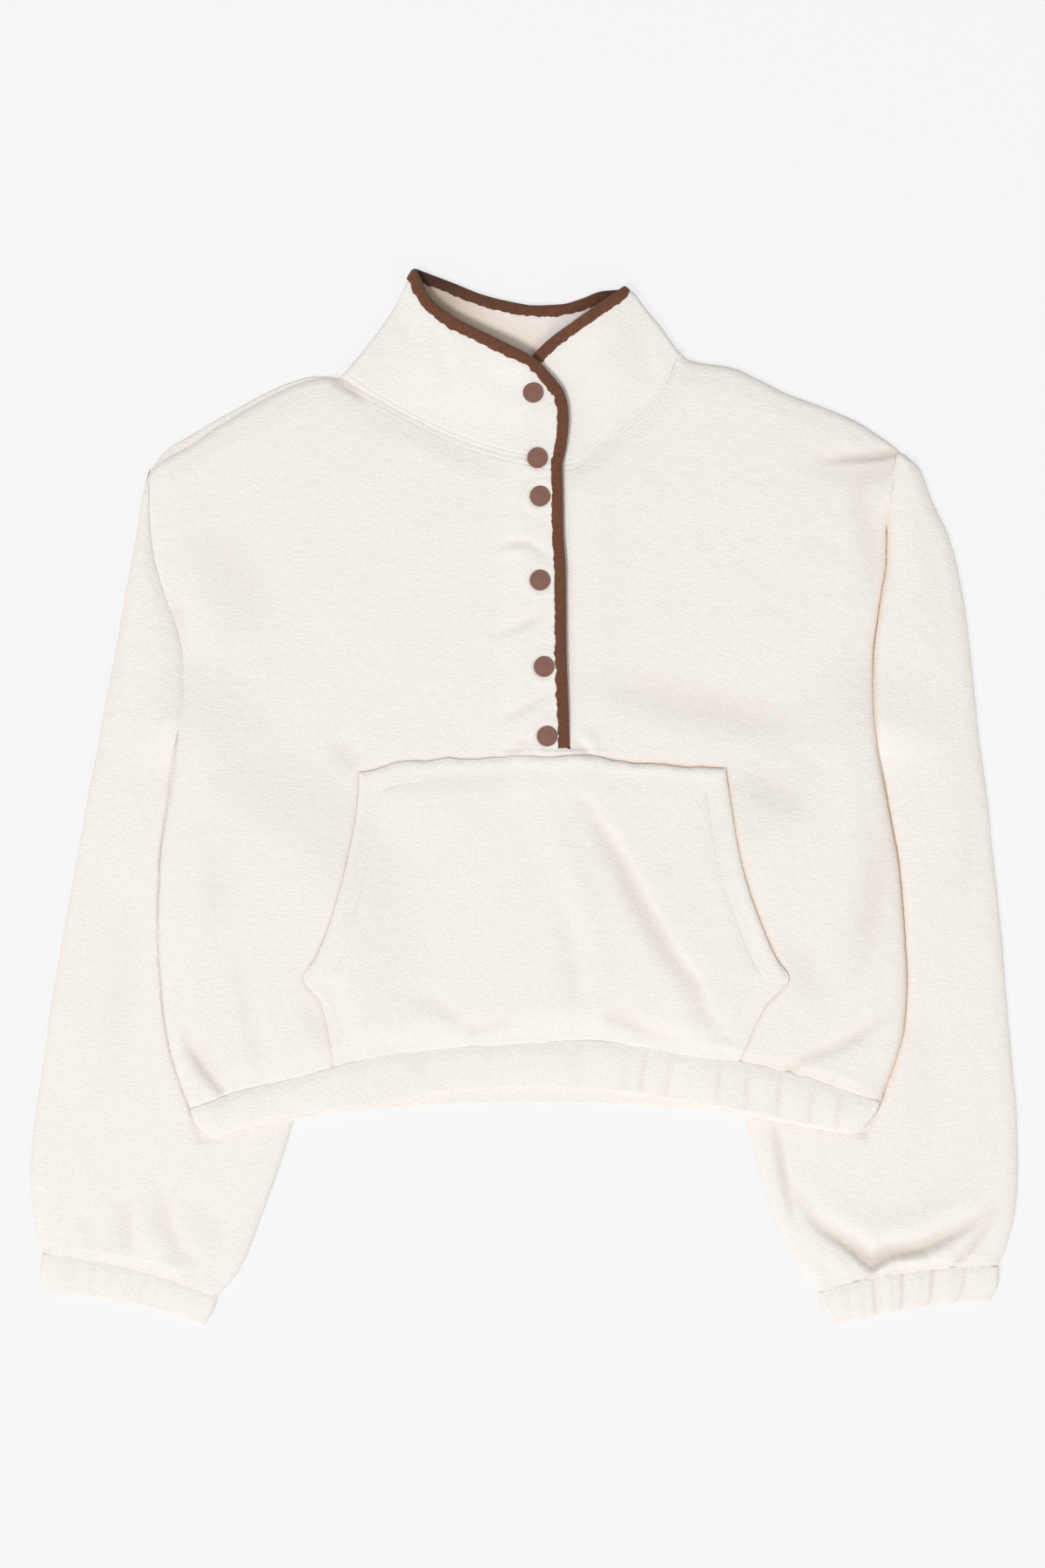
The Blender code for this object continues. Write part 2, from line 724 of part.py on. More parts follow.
def flat_rings(sections, square_rows=()):
    """Rings of a flattened tube from its sections' upper and lower layers, both from -X to +X.

    The side folds turn along their section, but in the square rows square to their own run.
    """
    rings = []
    for number, (upper, lower) in enumerate(sections):
        turns = []
        for layer, end, inner in ((0, -1, -2), (1, 0, 1)):
            start = Vector(sections[number][layer][end])
            outward = (start - Vector(sections[number][layer][inner])).xy.to_3d()
            if number in square_rows:
                before = Vector(sections[max(number - 1, 0)][layer][end])
                after = Vector(sections[min(number + 1, len(sections) - 1)][layer][end])
                square = across(after - before)
                outward = square if square.dot(outward) > 0 else -square
            turns.append(turn(start, sections[number][1 - layer][end], outward.normalized()))
        rings.append(list(upper) + turns[0] + list(reversed(lower)) + turns[1])
    return rings


# ------------------------------------------------------------------ body
def panel_lines(counts, lines):
    """Columns between guide lines, each a function from height to x."""
    columns = []
    for count, first, second in zip(counts, lines, lines[1:]):
        for number in range(count):
            columns.append((first, second, number / count))
    columns.append((lines[-1], lines[-1], 0.0))
    return columns


def column_x(column, y):
    first, second, share = column
    return mix(first(y), second(y), share)


def panel_plan(columns, top):
    """Plan of a body panel: rows from the hem seam up to its upper edge."""
    rows = []
    for zone, share in [(0, w) for w in POCKET_ROWS] + [(1, w) for w in UPPER_ROWS]:
        row = []
        for column in columns:
            bottom_y = hem_seam(column_x(column, hem_seam(0))) + SEAM / 2
            middle_x = column_x(column, pocket_top(0))
            middle_y = pocket_top(middle_x)
            if zone == 0:
                y = mix(bottom_y, middle_y, share)
            else:
                foot_y = middle_y + (SLIT_FOOT - pocket_top(0))
                top_y = front_top(column_x(column, 250))
                for _ in range(4):
                    top_y = top(column_x(column, top_y))
                y = mix(foot_y, top_y, share)
                if share == 0.0:
                    y = SLIT_FOOT if abs(middle_x - lap_edge(y)) < LAP_WIDTH + 2 else foot_y
            row.append((column_x(column, y), y))
        rows.append(row)
    return rows


def make_front(surface):
    lines = (
        side_right,
        guide_right,
        lambda y: lap_edge(y) - LAP_WIDTH,
        lap_edge,
        lambda y: lap_edge(y) + SLIT,
        guide_left,
        side_left,
    )
    plan = panel_plan(panel_lines(FRONT_CELLS, lines), front_top)
    rows = [[(x, y, front_height(x, y)) for x, y in row] for row in plan]
    edge = sum(FRONT_CELLS[:3])
    foot = len(POCKET_ROWS)
    left_out = {(i, edge) for i in range(foot, len(rows) - 1)}
    mesh, grid = sheet(rows, left_out=left_out)
    cut = [tape_place(grid[i][edge], grid[i][edge - 1]) for i in range(foot, len(rows))]
    cloth("front", mesh, surface)
    return rows, cut


def make_back(surface):
    lines = (
        side_right,
        guide_right,
        lambda y: lap_edge(y) - LAP_WIDTH,
        lambda y: lap_edge(y) + SLIT,
        guide_left,
        side_left,
    )
    plan = panel_plan(panel_lines(BACK_CELLS, lines), back_top)
    rows = [[(x, y, lift(x, y) + BACK_MID) for x, y in row] for row in plan]
    mesh, _ = sheet(rows)
    cloth("back", mesh, surface)
    return rows


def make_pocket(front_rows, surface):
    """The front's own points between its pocket columns, moved out by one layer."""
    first = FRONT_CELLS[0]
    last = sum(FRONT_CELLS[:5])
    rows = []
    for row in front_rows[: len(POCKET_ROWS)]:
        rows.append([(x, y, z + WALL + STACK) for x, y, z in row[first : last + 1]])
    mesh, _ = sheet(rows)
    cloth("pocket", mesh, surface)


def make_under_strip(front_rows, surface):
    """The strip under the overlap, along the other front's cut edge."""
    edge = sum(FRONT_CELLS[:3])
    rows = []
    for row in front_rows[len(POCKET_ROWS) :]:
        y = row[edge][1]
        inner = row[edge][0] - LAP_WIDTH + 4
        outer = row[edge][0] + SLIT - 2 * SEAM
        rows.append([(mix(inner, outer, share), y, FRONT_MID) for share in (0.0, 0.5, 1.0)])
    rows[0] = [(x, y + 1.5, z) for x, y, z in rows[0]]
    rows[-1] = [(x, y - SEAM, z) for x, y, z in rows[-1]]
    mesh, _ = sheet(rows)
    cloth("placket_under", mesh, surface)


def gather(x):
    return sum(h * math.exp(-(((x - place) / HEM_GATHER_WIDTH) ** 2)) for place, h in HEM_GATHERS[1:])


def halved(row):
    """A row of points with one more in the middle of each step."""
    points = [row[0]]
    for before, after in zip(row, row[1:]):
        points.append(tuple(mix(a, b, 0.5) for a, b in zip(before, after)))
        points.append(after)
    return points


def make_hem_band(front_rows, back_rows, surface):
    """A flattened ring under the panels' lowest rows, which give it its columns."""
    seams = (halved(front_rows[0]), back_rows[0])
    edges = (hem_front, hem_back)
    sections = []
    for t in (1.0, 0.66, 0.33, 0.0):
        layers = []
        for seam, edge, middle in zip(seams, edges, (TUBE_TOP, BACK_MID)):
            first, last = hem_right(t) + TUBE_END, hem_left(t) - TUBE_END
            layer = []
            for x0, y0, _ in seam:
                x = mix(first, last, (x0 - seam[0][0]) / (seam[-1][0] - seam[0][0]))
                if t == 0.0:
                    x = min(max(x0, first), last)
                y = mix(y0 - 2 * SEAM, edge(x), t)
                ends = ease((x - first) / 12) * ease((last - x) / 12)
                loft = ends * max(HEM_LOFT + gather(x), -TIGHT) if middle == TUBE_TOP else 0.0
                layer.append((x, y, lift(x, y) + middle + loft))
            layers.append(layer)
        sections.append(layers)
    mesh, _ = sheet(flat_rings(sections, square_rows=(0, 1, 2)), ring=True)
    cloth("hem_band", mesh, surface)


# ------------------------------------------------------------------ sleeves
def sleeve_layer(sleeve, ends, closing, height, is_open):
    """One layer of a section, from -X to +X, at a height that is a function of place."""
    outer, inner = ends
    inset = TUBE_END / (inner - outer).length
    points = []
    for number in range(SLEEVE_CELLS + 1):
        s = mix(inset, 1.0 if is_open else 1 - inset, number / SLEEVE_CELLS)
        place = outer.lerp(inner, s)
        place.y += sleeve.bow * 4 * s * (1 - s) * closing
        points.append((place.x, place.y, height(place.x, place.y, s)))
    return points if sleeve.is_right else points[::-1]


def make_sleeve(name, sleeve, front_rows, back_rows, surface):
    """A flattened tube from the cuff to the underarm, and from there up a layer to each panel."""

    def loft(x, y, s):
        open_air = ease((beyond_body(x, y) - 8) / PUFF_RAMP)
        puff = min(SLEEVE_PUFF, max(SLEEVE_PUFF - 0.5 + fold_height(SLEEVE_FOLDS, x, y), 0.0))
        return puff * open_air * math.sin(math.pi * s) ** 0.6

    def seam_rise(x, y, s):
        return lift(x, y) * s * s

    sections = []
    for number in range(SLEEVE_CLOSED_ROWS - 1, -1, -1):
        t = number / (SLEEVE_CLOSED_ROWS - 1)
        ends, closing = sleeve.closed(t), ease(t * 4 - 3)
        upper = sleeve_layer(sleeve, ends, closing, lambda x, y, s: TUBE_TOP + loft(x, y, s), False)
        lower = sleeve_layer(sleeve, ends, closing, lambda x, y, s: BACK_MID, False)
        sections.append((upper, lower))
    for front_edge, back_edge in zip(sleeve.armhole(front_rows), sleeve.armhole(back_rows)):
        upper = sleeve_layer(
            sleeve,
            sleeve.opened(front_edge),
            0.0,
            lambda x, y, s: TUBE_TOP + loft(x, y, s) + seam_rise(x, y, s),
            True,
        )
        lower = sleeve_layer(
            sleeve, sleeve.opened(back_edge), 0.0, lambda x, y, s: BACK_MID + seam_rise(x, y, s), True
        )
        sections.append((upper, lower))
    rows = flat_rings(sections, square_rows=range(1, len(sections)))
    first_turn = SLEEVE_CELLS if sleeve.is_right else len(rows[0]) - TURN_CELLS
    open_cells = range(first_turn, first_turn + TURN_CELLS)
    open_rows = range(SLEEVE_CLOSED_ROWS - 1, len(rows) - 1)
    mesh, _ = sheet(rows, ring=True, left_out={(i, j) for i in open_rows for j in open_cells})
    cloth(name, mesh, surface)


def make_cuff(name, table, outer_first, gathers, surface):
    curves = {column: smooth(table, "t", column) for column in table[0][1:]}
    sections = []
    for t in (1.0, 0.5, 0.0):
        outer = Vector((curves["outer_x"](t), curves["outer_y"](t)))
        inner = Vector((curves["inner_x"](t), curves["inner_y"](t)))
        first, last = (outer, inner) if outer_first else (inner, outer)
        bow = curves["bow"](t)
        inset = TUBE_END / (last - first).length
        upper, lower = [], []
        for number in range(CUFF_UPPER_CELLS + 1):
            s = mix(inset, 1 - inset, number / CUFF_UPPER_CELLS)
            place = first.lerp(last, s)
            fade = ease(s * 8) * ease((1 - s) * 8)
            wave = sum(h * math.exp(-(((s - at) / GATHER_WIDTH) ** 2)) for at, h in gathers[1:])
            loft = fade * max(CUFF_LOFT + wave, -TIGHT)
            upper.append((place.x, place.y + bow * 4 * s * (1 - s), TUBE_TOP + loft))
        for number in range(CUFF_LOWER_CELLS + 1):
            s = mix(inset, 1 - inset, number / CUFF_LOWER_CELLS)
            place = first.lerp(last, s)
            lower.append((place.x, place.y + bow * 4 * s * (1 - s), BACK_MID))
        sections.append((upper, lower))
    mesh, _ = sheet(flat_rings(sections), ring=True)
    cloth(name, mesh, surface)


# ------------------------------------------------------------------ collar and binding
def tape_place(vert, neighbour):
    """Where the binding sits on a cut edge: the edge's point, its normal and roughly its way out."""
    return vert.co.copy(), vert.normal.copy(), (vert.co - neighbour.co).normalized()


def beside(row, distance):
    """A row of points moved square to its own run, to the left of it."""
    moved = []
    for number, point in enumerate(row):
        before = Vector(row[max(number - 1, 0)])
        after = Vector(row[min(number + 1, len(row) - 1)])
        moved.append(Vector(point) + across(after - before) * distance)
    return moved


def spread(table, count, height=0.0):
    """Points along a table of the collar's upper edge."""
    curves = [smooth(table, "s", column) for column in table[0][1:]]
    points = []
    for number in range(count):
        values = [curve(number / (count - 1)) for curve in curves]
        points.append(Vector(values if len(values) == 3 else (*values, height)))
    return points


def make_collar(front_rows, back_rows, surface):
    """One strip: the hidden left end, the left side, the back, the right side, the overlap."""
    edge = sum(FRONT_CELLS[:3])
    seam = front_rows[-1]
    right_seam = beside(seam[FRONT_CELLS[0] : edge + 1], SEAM)
    left_seam = beside(seam[edge + 1 : sum(FRONT_CELLS[:5]) + 1], SEAM)
    for point in left_seam:
        point.z = FRONT_MID
    hidden = [mix(COLLAR_UNDERLAP, left_seam[0].x, share) for share in (0.0, 0.5)]
    left_seam = [Vector((x, left_seam[0].y + SEAM, FRONT_MID)) for x in hidden] + left_seam
    back_seam = beside(back_rows[-1][BACK_CELLS[0] : sum(BACK_CELLS[:4]) + 1], SEAM)
    back_seam.reverse()
    ends = ((left_seam[-1], back_seam[0], -1), (right_seam[0], back_seam[-1], 1))
    for front_end, back_end, inward in ends:
        back_end.x += inward * TUBE_END
        back_end.y = max(front_end.y, back_end.y) + SEAM
        front_end.xyz = (back_end.x, back_end.y, TUBE_TOP)

    left_top = spread(COLLAR_TOP_LEFT, len(left_seam))
    right_top = spread(COLLAR_TOP_RIGHT, len(right_seam))
    back_top_row = spread(COLLAR_TOP_BACK, len(back_seam), BACK_MID + SEAM + TAPE + 0.1)
    lap_x = smooth(COLLAR_LAP, "v", "x")
    lap_y = smooth(COLLAR_LAP, "v", "y")
    rows = []
    for v in COLLAR_ROWS:
        hold = ease((v - 0.6) / 0.3)
        lap_hold = ease((v - 0.18) / 0.36)
        swell = COLLAR_PUFF * math.sin(math.pi * v) * (1 - hold)
        bow = COLLAR_BOW * 4 * v * (1 - v)
        left, right, back = [], [], []
        for number, (low, high) in enumerate(zip(left_seam, left_top)):
            share = number / (len(left_seam) - 1)
            point = low.lerp(high, v)
            point.x -= bow * share**3
            point.z = mix(low.z, high.z, hold) + swell * ease(share * 3 - 1)
            left.append(point)
        for number, (low, high) in enumerate(zip(right_seam, right_top)):
            share = number / (len(right_seam) - 1)
            point = low.lerp(high, v)
            chord = right_seam[-1].lerp(right_top[-1], v)
            point += Vector((lap_x(v) - chord.x, lap_y(v) - chord.y, 0)) * share**3
            point.x += bow * (1 - share) ** 3
            over = ease(share * 6 - 4)
            point.z = mix(low.z, high.z, mix(hold, lap_hold, over))
            point.z += swell * (1 - over) * ease(share * 4)
            right.append(point)
        for number, (low, high) in enumerate(zip(back_seam, back_top_row)):
            share = number / (len(back_seam) - 1)
            point = low.lerp(high, v)
            point.x += bow * (share**3 - (1 - share) ** 3)
            point.z = mix(low.z, high.z, ease((v - 0.6) / 0.28))
            back.append(point)
        outward = across(left_seam[-1] - left_top[-1])
        left_turn = turn(left[-1], back[0], outward)
        outward = across(right_top[0] - right_seam[0])
        right_turn = turn(back[-1], right[0], outward)
        rows.append(left + left_turn + back + right_turn + right)
    mesh, grid = sheet(rows)
    lap = [tape_place(row[-1], row[-2]) for row in grid[1:-1]]
    upper = [tape_place(vert, below) for vert, below in zip(grid[-1], grid[-2])]
    corner_out = (lap[-1][2] + upper[-1][2]).normalized()
    upper[-1] = (upper[-1][0], upper[-1][1], corner_out)
    cloth("collar", mesh, surface)
    return lap, list(reversed(upper[TAPE_STOP:]))


def make_binding(side, upper, surface):
    """A tape folded round the cut edge of the overlap and of the collar's top."""
    profile = (
        (-TAPE_LEG, TAPE_MID),
        (0.5, TAPE_MID),
        (TAPE_NOSE, 0.0),
        (0.5, -TAPE_MID),
        (-TAPE_LEG, -TAPE_MID),
    )
    side[0] = (side[0][0] + Vector((0, STACK, 0)), side[1][1], side[1][2])
    chain = side + upper
    rows = []
    for number, (place, normal, away) in enumerate(chain):
        out = away
        if number <= len(side):
            out = (chain[number + 1][0] - chain[max(number - 1, 0)][0]).cross(normal).normalized()
        rows.append([place + out * a + normal * n for a, n in profile])
    flipped = {(number, 3) for number in range(len(side))}
    flipped |= {(number, 0) for number in range(len(side), len(rows))}
    mesh, _ = sheet(rows, flipped=flipped)
    cloth("binding", mesh, surface, TAPE)


def make_snaps(surface):
    """Caps on the overlap: a flat disc with a rolled rim."""
    profile = (
        (SNAP_RADIUS - 0.7, 0.0),
        (SNAP_RADIUS, 0.6),
        (SNAP_RADIUS - 0.3, 1.3),
        (SNAP_RADIUS - 1.1, SNAP_HEIGHT - 0.2),
        (SNAP_RADIUS * 0.45, SNAP_HEIGHT),
    )
    for number, (x, y, seat) in enumerate(SNAPS[1:], start=1):
        mesh = bmesh.new()
        rings = []
        for radius, height in profile:
            ring = []
            for side in range(SNAP_SIDES):
                angle = 2 * math.pi * side / SNAP_SIDES
                point = Vector((math.cos(angle) * radius, math.sin(angle) * radius, height))
                ring.append(mesh.verts.new(point * MM))
            rings.append(ring)
        for low, high in zip(rings, rings[1:]):
            for side in range(SNAP_SIDES):
                after = (side + 1) % SNAP_SIDES
                mesh.faces.new((low[side], low[after], high[after], high[side]))
        mesh.faces.new(rings[-1])
        mesh.faces.new(list(reversed(rings[0])))
        cap = add_object(f"snap_{number}", mesh, surface)
        cap.location = Vector((x, y, seat + WALL / 2 + SEAM)) * MM


def main():
    for old in list(bpy.data.objects):
        bpy.data.objects.remove(old)
    fleece = material("cream_fleece", (0.88, 0.84, 0.78), 0.95)
    collar_fleece = material("collar_fleece", (0.88, 0.84, 0.78), 0.95)
    pocket_fleece = material("pocket_fleece", (0.88, 0.84, 0.78), 0.95)
    band_fleece = material("band_fleece", (0.87, 0.83, 0.77), 0.95)
    tape = material("brown_binding", (0.18, 0.075, 0.04), 0.85)
    cap = material("mauve_brown_paint", (0.25, 0.12, 0.09), 0.45)

    back_rows = make_back(fleece)
    front_rows, cut = make_front(fleece)
    make_pocket(front_rows, pocket_fleece)
    make_under_strip(front_rows, fleece)
    make_hem_band(front_rows, back_rows, band_fleece)
    make_sleeve("sleeve_right", sleeve_right, front_rows, back_rows, fleece)
    make_sleeve("sleeve_left", sleeve_left, front_rows, back_rows, fleece)
    make_cuff("cuff_right", CUFF_RIGHT, True, GATHERS_RIGHT, band_fleece)
    make_cuff("cuff_left", CUFF_LEFT, False, GATHERS_LEFT, band_fleece)
    lap, upper = make_collar(front_rows, back_rows, collar_fleece)
    make_binding(cut + lap, upper, tape)
    make_snaps(cap)


main()
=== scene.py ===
import math

import bmesh
import bpy
import numpy as np
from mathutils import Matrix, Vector


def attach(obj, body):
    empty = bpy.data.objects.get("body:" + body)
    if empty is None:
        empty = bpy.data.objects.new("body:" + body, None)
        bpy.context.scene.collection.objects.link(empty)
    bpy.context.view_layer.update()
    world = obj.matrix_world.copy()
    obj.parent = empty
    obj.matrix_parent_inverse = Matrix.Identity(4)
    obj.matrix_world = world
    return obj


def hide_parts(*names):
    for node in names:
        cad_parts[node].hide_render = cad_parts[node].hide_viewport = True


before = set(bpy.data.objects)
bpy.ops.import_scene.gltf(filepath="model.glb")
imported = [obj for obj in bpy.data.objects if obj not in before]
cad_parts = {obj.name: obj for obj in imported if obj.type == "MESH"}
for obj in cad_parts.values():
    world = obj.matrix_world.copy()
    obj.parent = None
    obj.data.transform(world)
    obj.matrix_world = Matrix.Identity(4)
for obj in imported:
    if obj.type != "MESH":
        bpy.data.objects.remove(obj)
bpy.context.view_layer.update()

# All lengths are millimetres until a mesh is made. +X is the wearer's left, +Y runs to the neck
# and +Z is away from the surface that the pullover lies on.
MM = 0.001
TINY = 1e-9
WELD = 1e-6

# Thickness of cloth and tape, the gaps between layers, and the heights of the layers' middles
WALL = 3.0
TAPE = 0.8
SEAM = 0.3
STACK = 0.4
FOLD_GAP = 0.9
BACK_MID = WALL / 2
FRONT_MID = WALL * 1.5 + STACK
TUBE_TOP = WALL * 1.5 + FOLD_GAP
TUBE_END = WALL / 2 + (TUBE_TOP - BACK_MID) / 2
LAP_MID = FRONT_MID + WALL + STACK + SEAM + TAPE
COLLAR_LAP_MID = LAP_MID + 1.0
TAPE_BACK_MID = BACK_MID + SEAM + TAPE + 0.1

# Height of the under strip, lowest height of the front's face, and of a cap's foot over its seat
STRIP_TOP = 6.1
FRONT_LOW = 2.1
CAP_BASE = 1.8

# Rise of the body over the sleeves that lie under it: full this near to them, then down a ramp
LIFT = WALL * 2 + FOLD_GAP + 2 * SEAM
LIFT_FLAT = 16.0
LIFT_RAMP = 70.0

# How far the cloth's soft loft stands up, and how far in from an edge it is full. TIGHT is the most
# that a gather dips under its band, and SLEEVE_DIP the most that a crease dips under its sleeve.
BODY_LOFT = 2.0
SLEEVE_LOFT = 3.0
CUFF_LOFT = 0.9
HEM_LOFT = 0.6
LOOSE_LOFT = 0.35
PUFF_RAMP = 30.0
TIGHT = 0.4
SLEEVE_DIP = 3.0

# The placket's overlap, the slit beside it and the cloth that rises to it past the slit's foot
LAP_WIDTH = 27.0
LAP_SLOPE = 26.0
SLIT = 2.2
SLIT_FOOT = 35.0
FOOT_RISE = 2.6
FOOT_SPREAD = 38.0
BESIDE_RISE = 2.2

# The collar's bow and bulge at its corners, the puff at its foot, how far it stands up, the x where
# its ends overlap, where its seam turns to the shoulders and where its upper corners are
COLLAR_BOW = 4.0
COLLAR_BULGE = 3.0
COLLAR_PUFF = 1.6
COLLAR_STAND = 7.0
COLLAR_UNDERLAP = 0.6
LAP_LEFT, LAP_RIGHT = 28.0, -1.2
TURN_LEFT, TURN_RIGHT = 80.0, -100.0
CORNER_LEFT, CORNER_RIGHT = 70.0, -79.0
RIGHT_COLUMNS = 96
SEAM_INSET = 1.4

# How far a piece runs on under its neighbour and turns down there, how far a sleeve's head is drawn
# in, and the half width of a seam's dip
UNDERLAP = 2.4
TURN_DOWN = 1.2
TUCK = 2.0
SEAM_WIDTH = 1.6

# Half width of a gather, as a share of a cuff and in millimetres on the hem. Valleys from this
# height down are deeper and narrower, and from this x to the left the hem's gathers are strong.
GATHER_WIDTH = 0.026
HEM_GATHER_WIDTH = 3.8
DEEP_VALLEY = -0.6
HEM_GATHERED = 60.0

# Creases: the part of its path at each end that a crease leaves out, the power with which it
# swells, and the part along which one that starts at an edge is full
CREASE_END, CREASE_SWELL, CREASE_FULL = 0.04, 0.7, 0.35

# Depth of the creases at which their painted shade would be 1, and the most painted shade that they get
BODY_SHADE = (12.0, 0.4)
EDGE_SHADE = (4.8, 0.62)

# Ramps of the front's loft, in from the hem's seam and down from the top, and its edges' roundness
HEM_RAMP, TOP_RAMP = 18.0, 22.0
LEFT_ROUND, RIGHT_ROUND, TOP_ROUND = 12.0, 8.5, 7.0

# The dent that a cap presses into the cloth and the ring that rises round it: height, half width
CAP_DENT = (0.8, 6.0)
CAP_RING, CAP_RING_RADIUS = (0.55, 2.6), 10.5

# A sleeve's rows: its underarm's station, how far its outer side lags behind its inner one, its
# length to the underarm, and the height and station at which its head ends
UNDERARM_STATION = 9.0
SLEEVE_LAG = 1.35
SLEEVE_RUN = 340.0
SLEEVE_TOP_RIGHT = (222.0, 1.15)
SLEEVE_TOP_LEFT = (246.0, 0.7)

# Heights of a sleeve's rolled edges on its upper and its lower face, how far the upper face stands
# above them, their roundness at the outer and the inner side and below, how far the inner side lies
# outside the body's side and the head's end inside it, and where the hem begins on the left side
SLEEVE_EDGE, SLEEVE_UNDER, SLEEVE_BODY = 3.3, 2.7, 3.6
SLEEVE_ROUND, SLEEVE_SEAM_ROUND, SLEEVE_UNDER_ROUND = 12.0, 9.0, 5.0
SLEEVE_OUT, HEAD_IN = 0.2, 0.3
HEM_SIDE = -226.0

# The armhole's groove starts at this height and is full this far below it
GROOVE_RIGHT = (232.0, 26.0)
GROOVE_LEFT = (226.0, 44.0)

# Distances of the stitch lines from their edges. A point FAR from a line has no stitch.
FAR = 9.0
NECK_STITCH = 3.6
COLLAR_STITCH = 4.0
POCKET_STITCH = 16.0

# Tufts of pile in the mesh, as heights and sizes, then the stretch and depth of the finer pile
TUFTS = ((0.17, 3.4), (0.10, 9.5), (0.45, 38.0))
PILE_LAY = (0.8, 1.2, 1.0)
PILE_BUMP = 0.7
LATTICE = 48

# Colours. Three creams are painted shade: in creases and seams, the deepest shade, and warm shade along
# lines. The pit cream is painted shade in the pile's pits and also a random tone. The tape's shadow colour
# is painted shadow.
CREAM, CREAM_PIT = (0.93, 0.890, 0.848), (0.892, 0.843, 0.795)
CREAM_PAINTED_SHADE, CREAM_DEEP_PAINTED_SHADE = (0.60, 0.52, 0.452), (0.27, 0.18, 0.12)
CREAM_WARM_PAINTED_SHADE = (0.93, 0.72, 0.54)
TAPE_BROWN, TAPE_DARK, TAPE_SHADOW = (0.188, 0.071, 0.036), (0.104, 0.035, 0.016), (0.034, 0.010, 0.004)
CAP_BROWN, CAP_WORN = (0.222, 0.100, 0.071), (0.25, 0.124, 0.093)
SHEEN, WHITE = (1.0, 0.98, 0.95, 1.0), (1.0, 1.0, 1.0, 1.0)
FLOOR_GREY = (0.16, 0.16, 0.16, 1.0)

# Floor, lights and camera, in metres but for FRAME_MIDDLE. The frame is 1800 pixels of 0.64 mm high.
FLOOR_HALF, FLOOR_LOW, FLOOR_GLOW = 6, -0.0005, 0.765
WORLD = 0.44
KEY_PLACE, KEY_WATTS = (-4.7, -4.5, 9.8), 772.0
FILL_PLACE, FILL_WATTS = (4.2, -3.6, 4.8), 96.0
LAMP_SIZE = 3.6
FRAME_MIDDLE = (-1.6, 9.1)
FRAME_HEIGHT = 1.152
LENS, SENSOR = 100.0, 36.0

# Outlines in the photo. A table's first column is the one that its curves run over.
SIDES = (  # y, right, left
    (-229, -244.5, 260), (-221, -248, 262), (-195, -257, 271.5), (-170, -262.5, 278), (-138, -266, 280),
    (-106, -268.5, 278.5), (-55, -267, 274.5), (-4, -261, 265.5), (45, -254, 257.5), (74, -252, 256),
    (104, -253, 256.5), (122, -257, 258.5), (147, -264, 262), (174, -271.5, 266), (206, -275, 266.5),
    (236, -275.5, 271.5), (252, -276, 276),
)
GUIDES = (  # y, right, left
    (-206, -138, 150), (-193, -140, 157), (-151, -149, 177.5), (-133, -162, 193), (-120, -153.5, 185),
    (-93, -142.5, 173), (-62, -133.5, 162), (-37, -128, 156), (-12, -123.5, 152), (19, -121.5, 147.5),
    (60, -123, 144), (150, -126, 133), (240, -130, 121), (322, -133, 113.5),
)
LAP_EDGE = (  # y, x
    (20, 31.6), (35, 31.4), (115, 28.8), (168, 28.4), (192, 26.8), (222, 26.3), (246, 25.8),
)
FRONT_SHOULDER_RIGHT = (  # x, y
    (-275.5, 236.5), (-270.5, 243), (-264, 247.5), (-245.5, 257.5), (-223.5, 272), (-209, 281),
    (-179.5, 297.5), (-157, 306), (-146, 307.5), (-133, 305.5),
)
BACK_SHOULDER_RIGHT = (  # x, y
    (-275.5, 239), (-264, 253.5), (-245.5, 265), (-227, 276), (-209, 286), (-190.5, 296), (-172, 304),
    (-157, 308), (-146, 308.5), (-133, 306.5),
)
SHOULDER_LEFT = (  # x, y
    (113.5, 322), (129, 318), (151.5, 314.5), (170, 306.5), (192.5, 295.5), (218.5, 286), (243.5, 275.5),
    (257, 267), (272.5, 256), (276, 252.5),
)
FRONT_NECK = (  # x, y
    (-133, 305.5), (-120.5, 297.5), (-107, 290.5), (-86, 279), (-50, 262), (-14.5, 250.5), (11, 245),
    (24.5, 243), (34, 243.5), (51.5, 255.5), (76, 274), (96.5, 290.5), (106, 303.5), (111, 316),
    (113.5, 322),
)
BACK_NECK = (  # x, y
    (-133, 306.5), (-97.5, 299), (-46.5, 294.5), (-1.5, 294), (49.5, 297), (88, 306.5), (113.5, 322),
)
HEM = (  # x, seam, front, back
    (-246, -227.5, -249.5, -250.5), (-232, -222.5, -248.5, -250.5), (-211, -214.5, -241, -243.5),
    (-182, -208, -234, -238), (-155, -201, -230.5, -234), (-136.5, -195.5, -228, -231),
    (-99, -187.5, -222.5, -227.5), (-53.5, -182.5, -215, -225), (0, -180, -212.5, -224.5),
    (44.5, -177.5, -213, -224.5), (67, -179, -215, -225), (120, -187.5, -222.5, -228),
    (156, -192, -228.5, -231.5), (181.5, -197, -234, -236), (211, -204.5, -240, -241.5),
    (231, -211.5, -243.5, -245), (262, -222.5, -246.5, -247.5),
)
HEM_ENDS = (  # t, right, left
    (0, -245.5, 261), (0.5, -243, 256.5), (1, -237, 250),
)
POCKET_TOP = (  # x, y
    (-280, 20), (-121.5, 19), (-85, 26), (-39, 28), (3.5, 30), (44.5, 29.5), (65, 26), (123, 22),
    (147.5, 20.5), (280, 20),
)
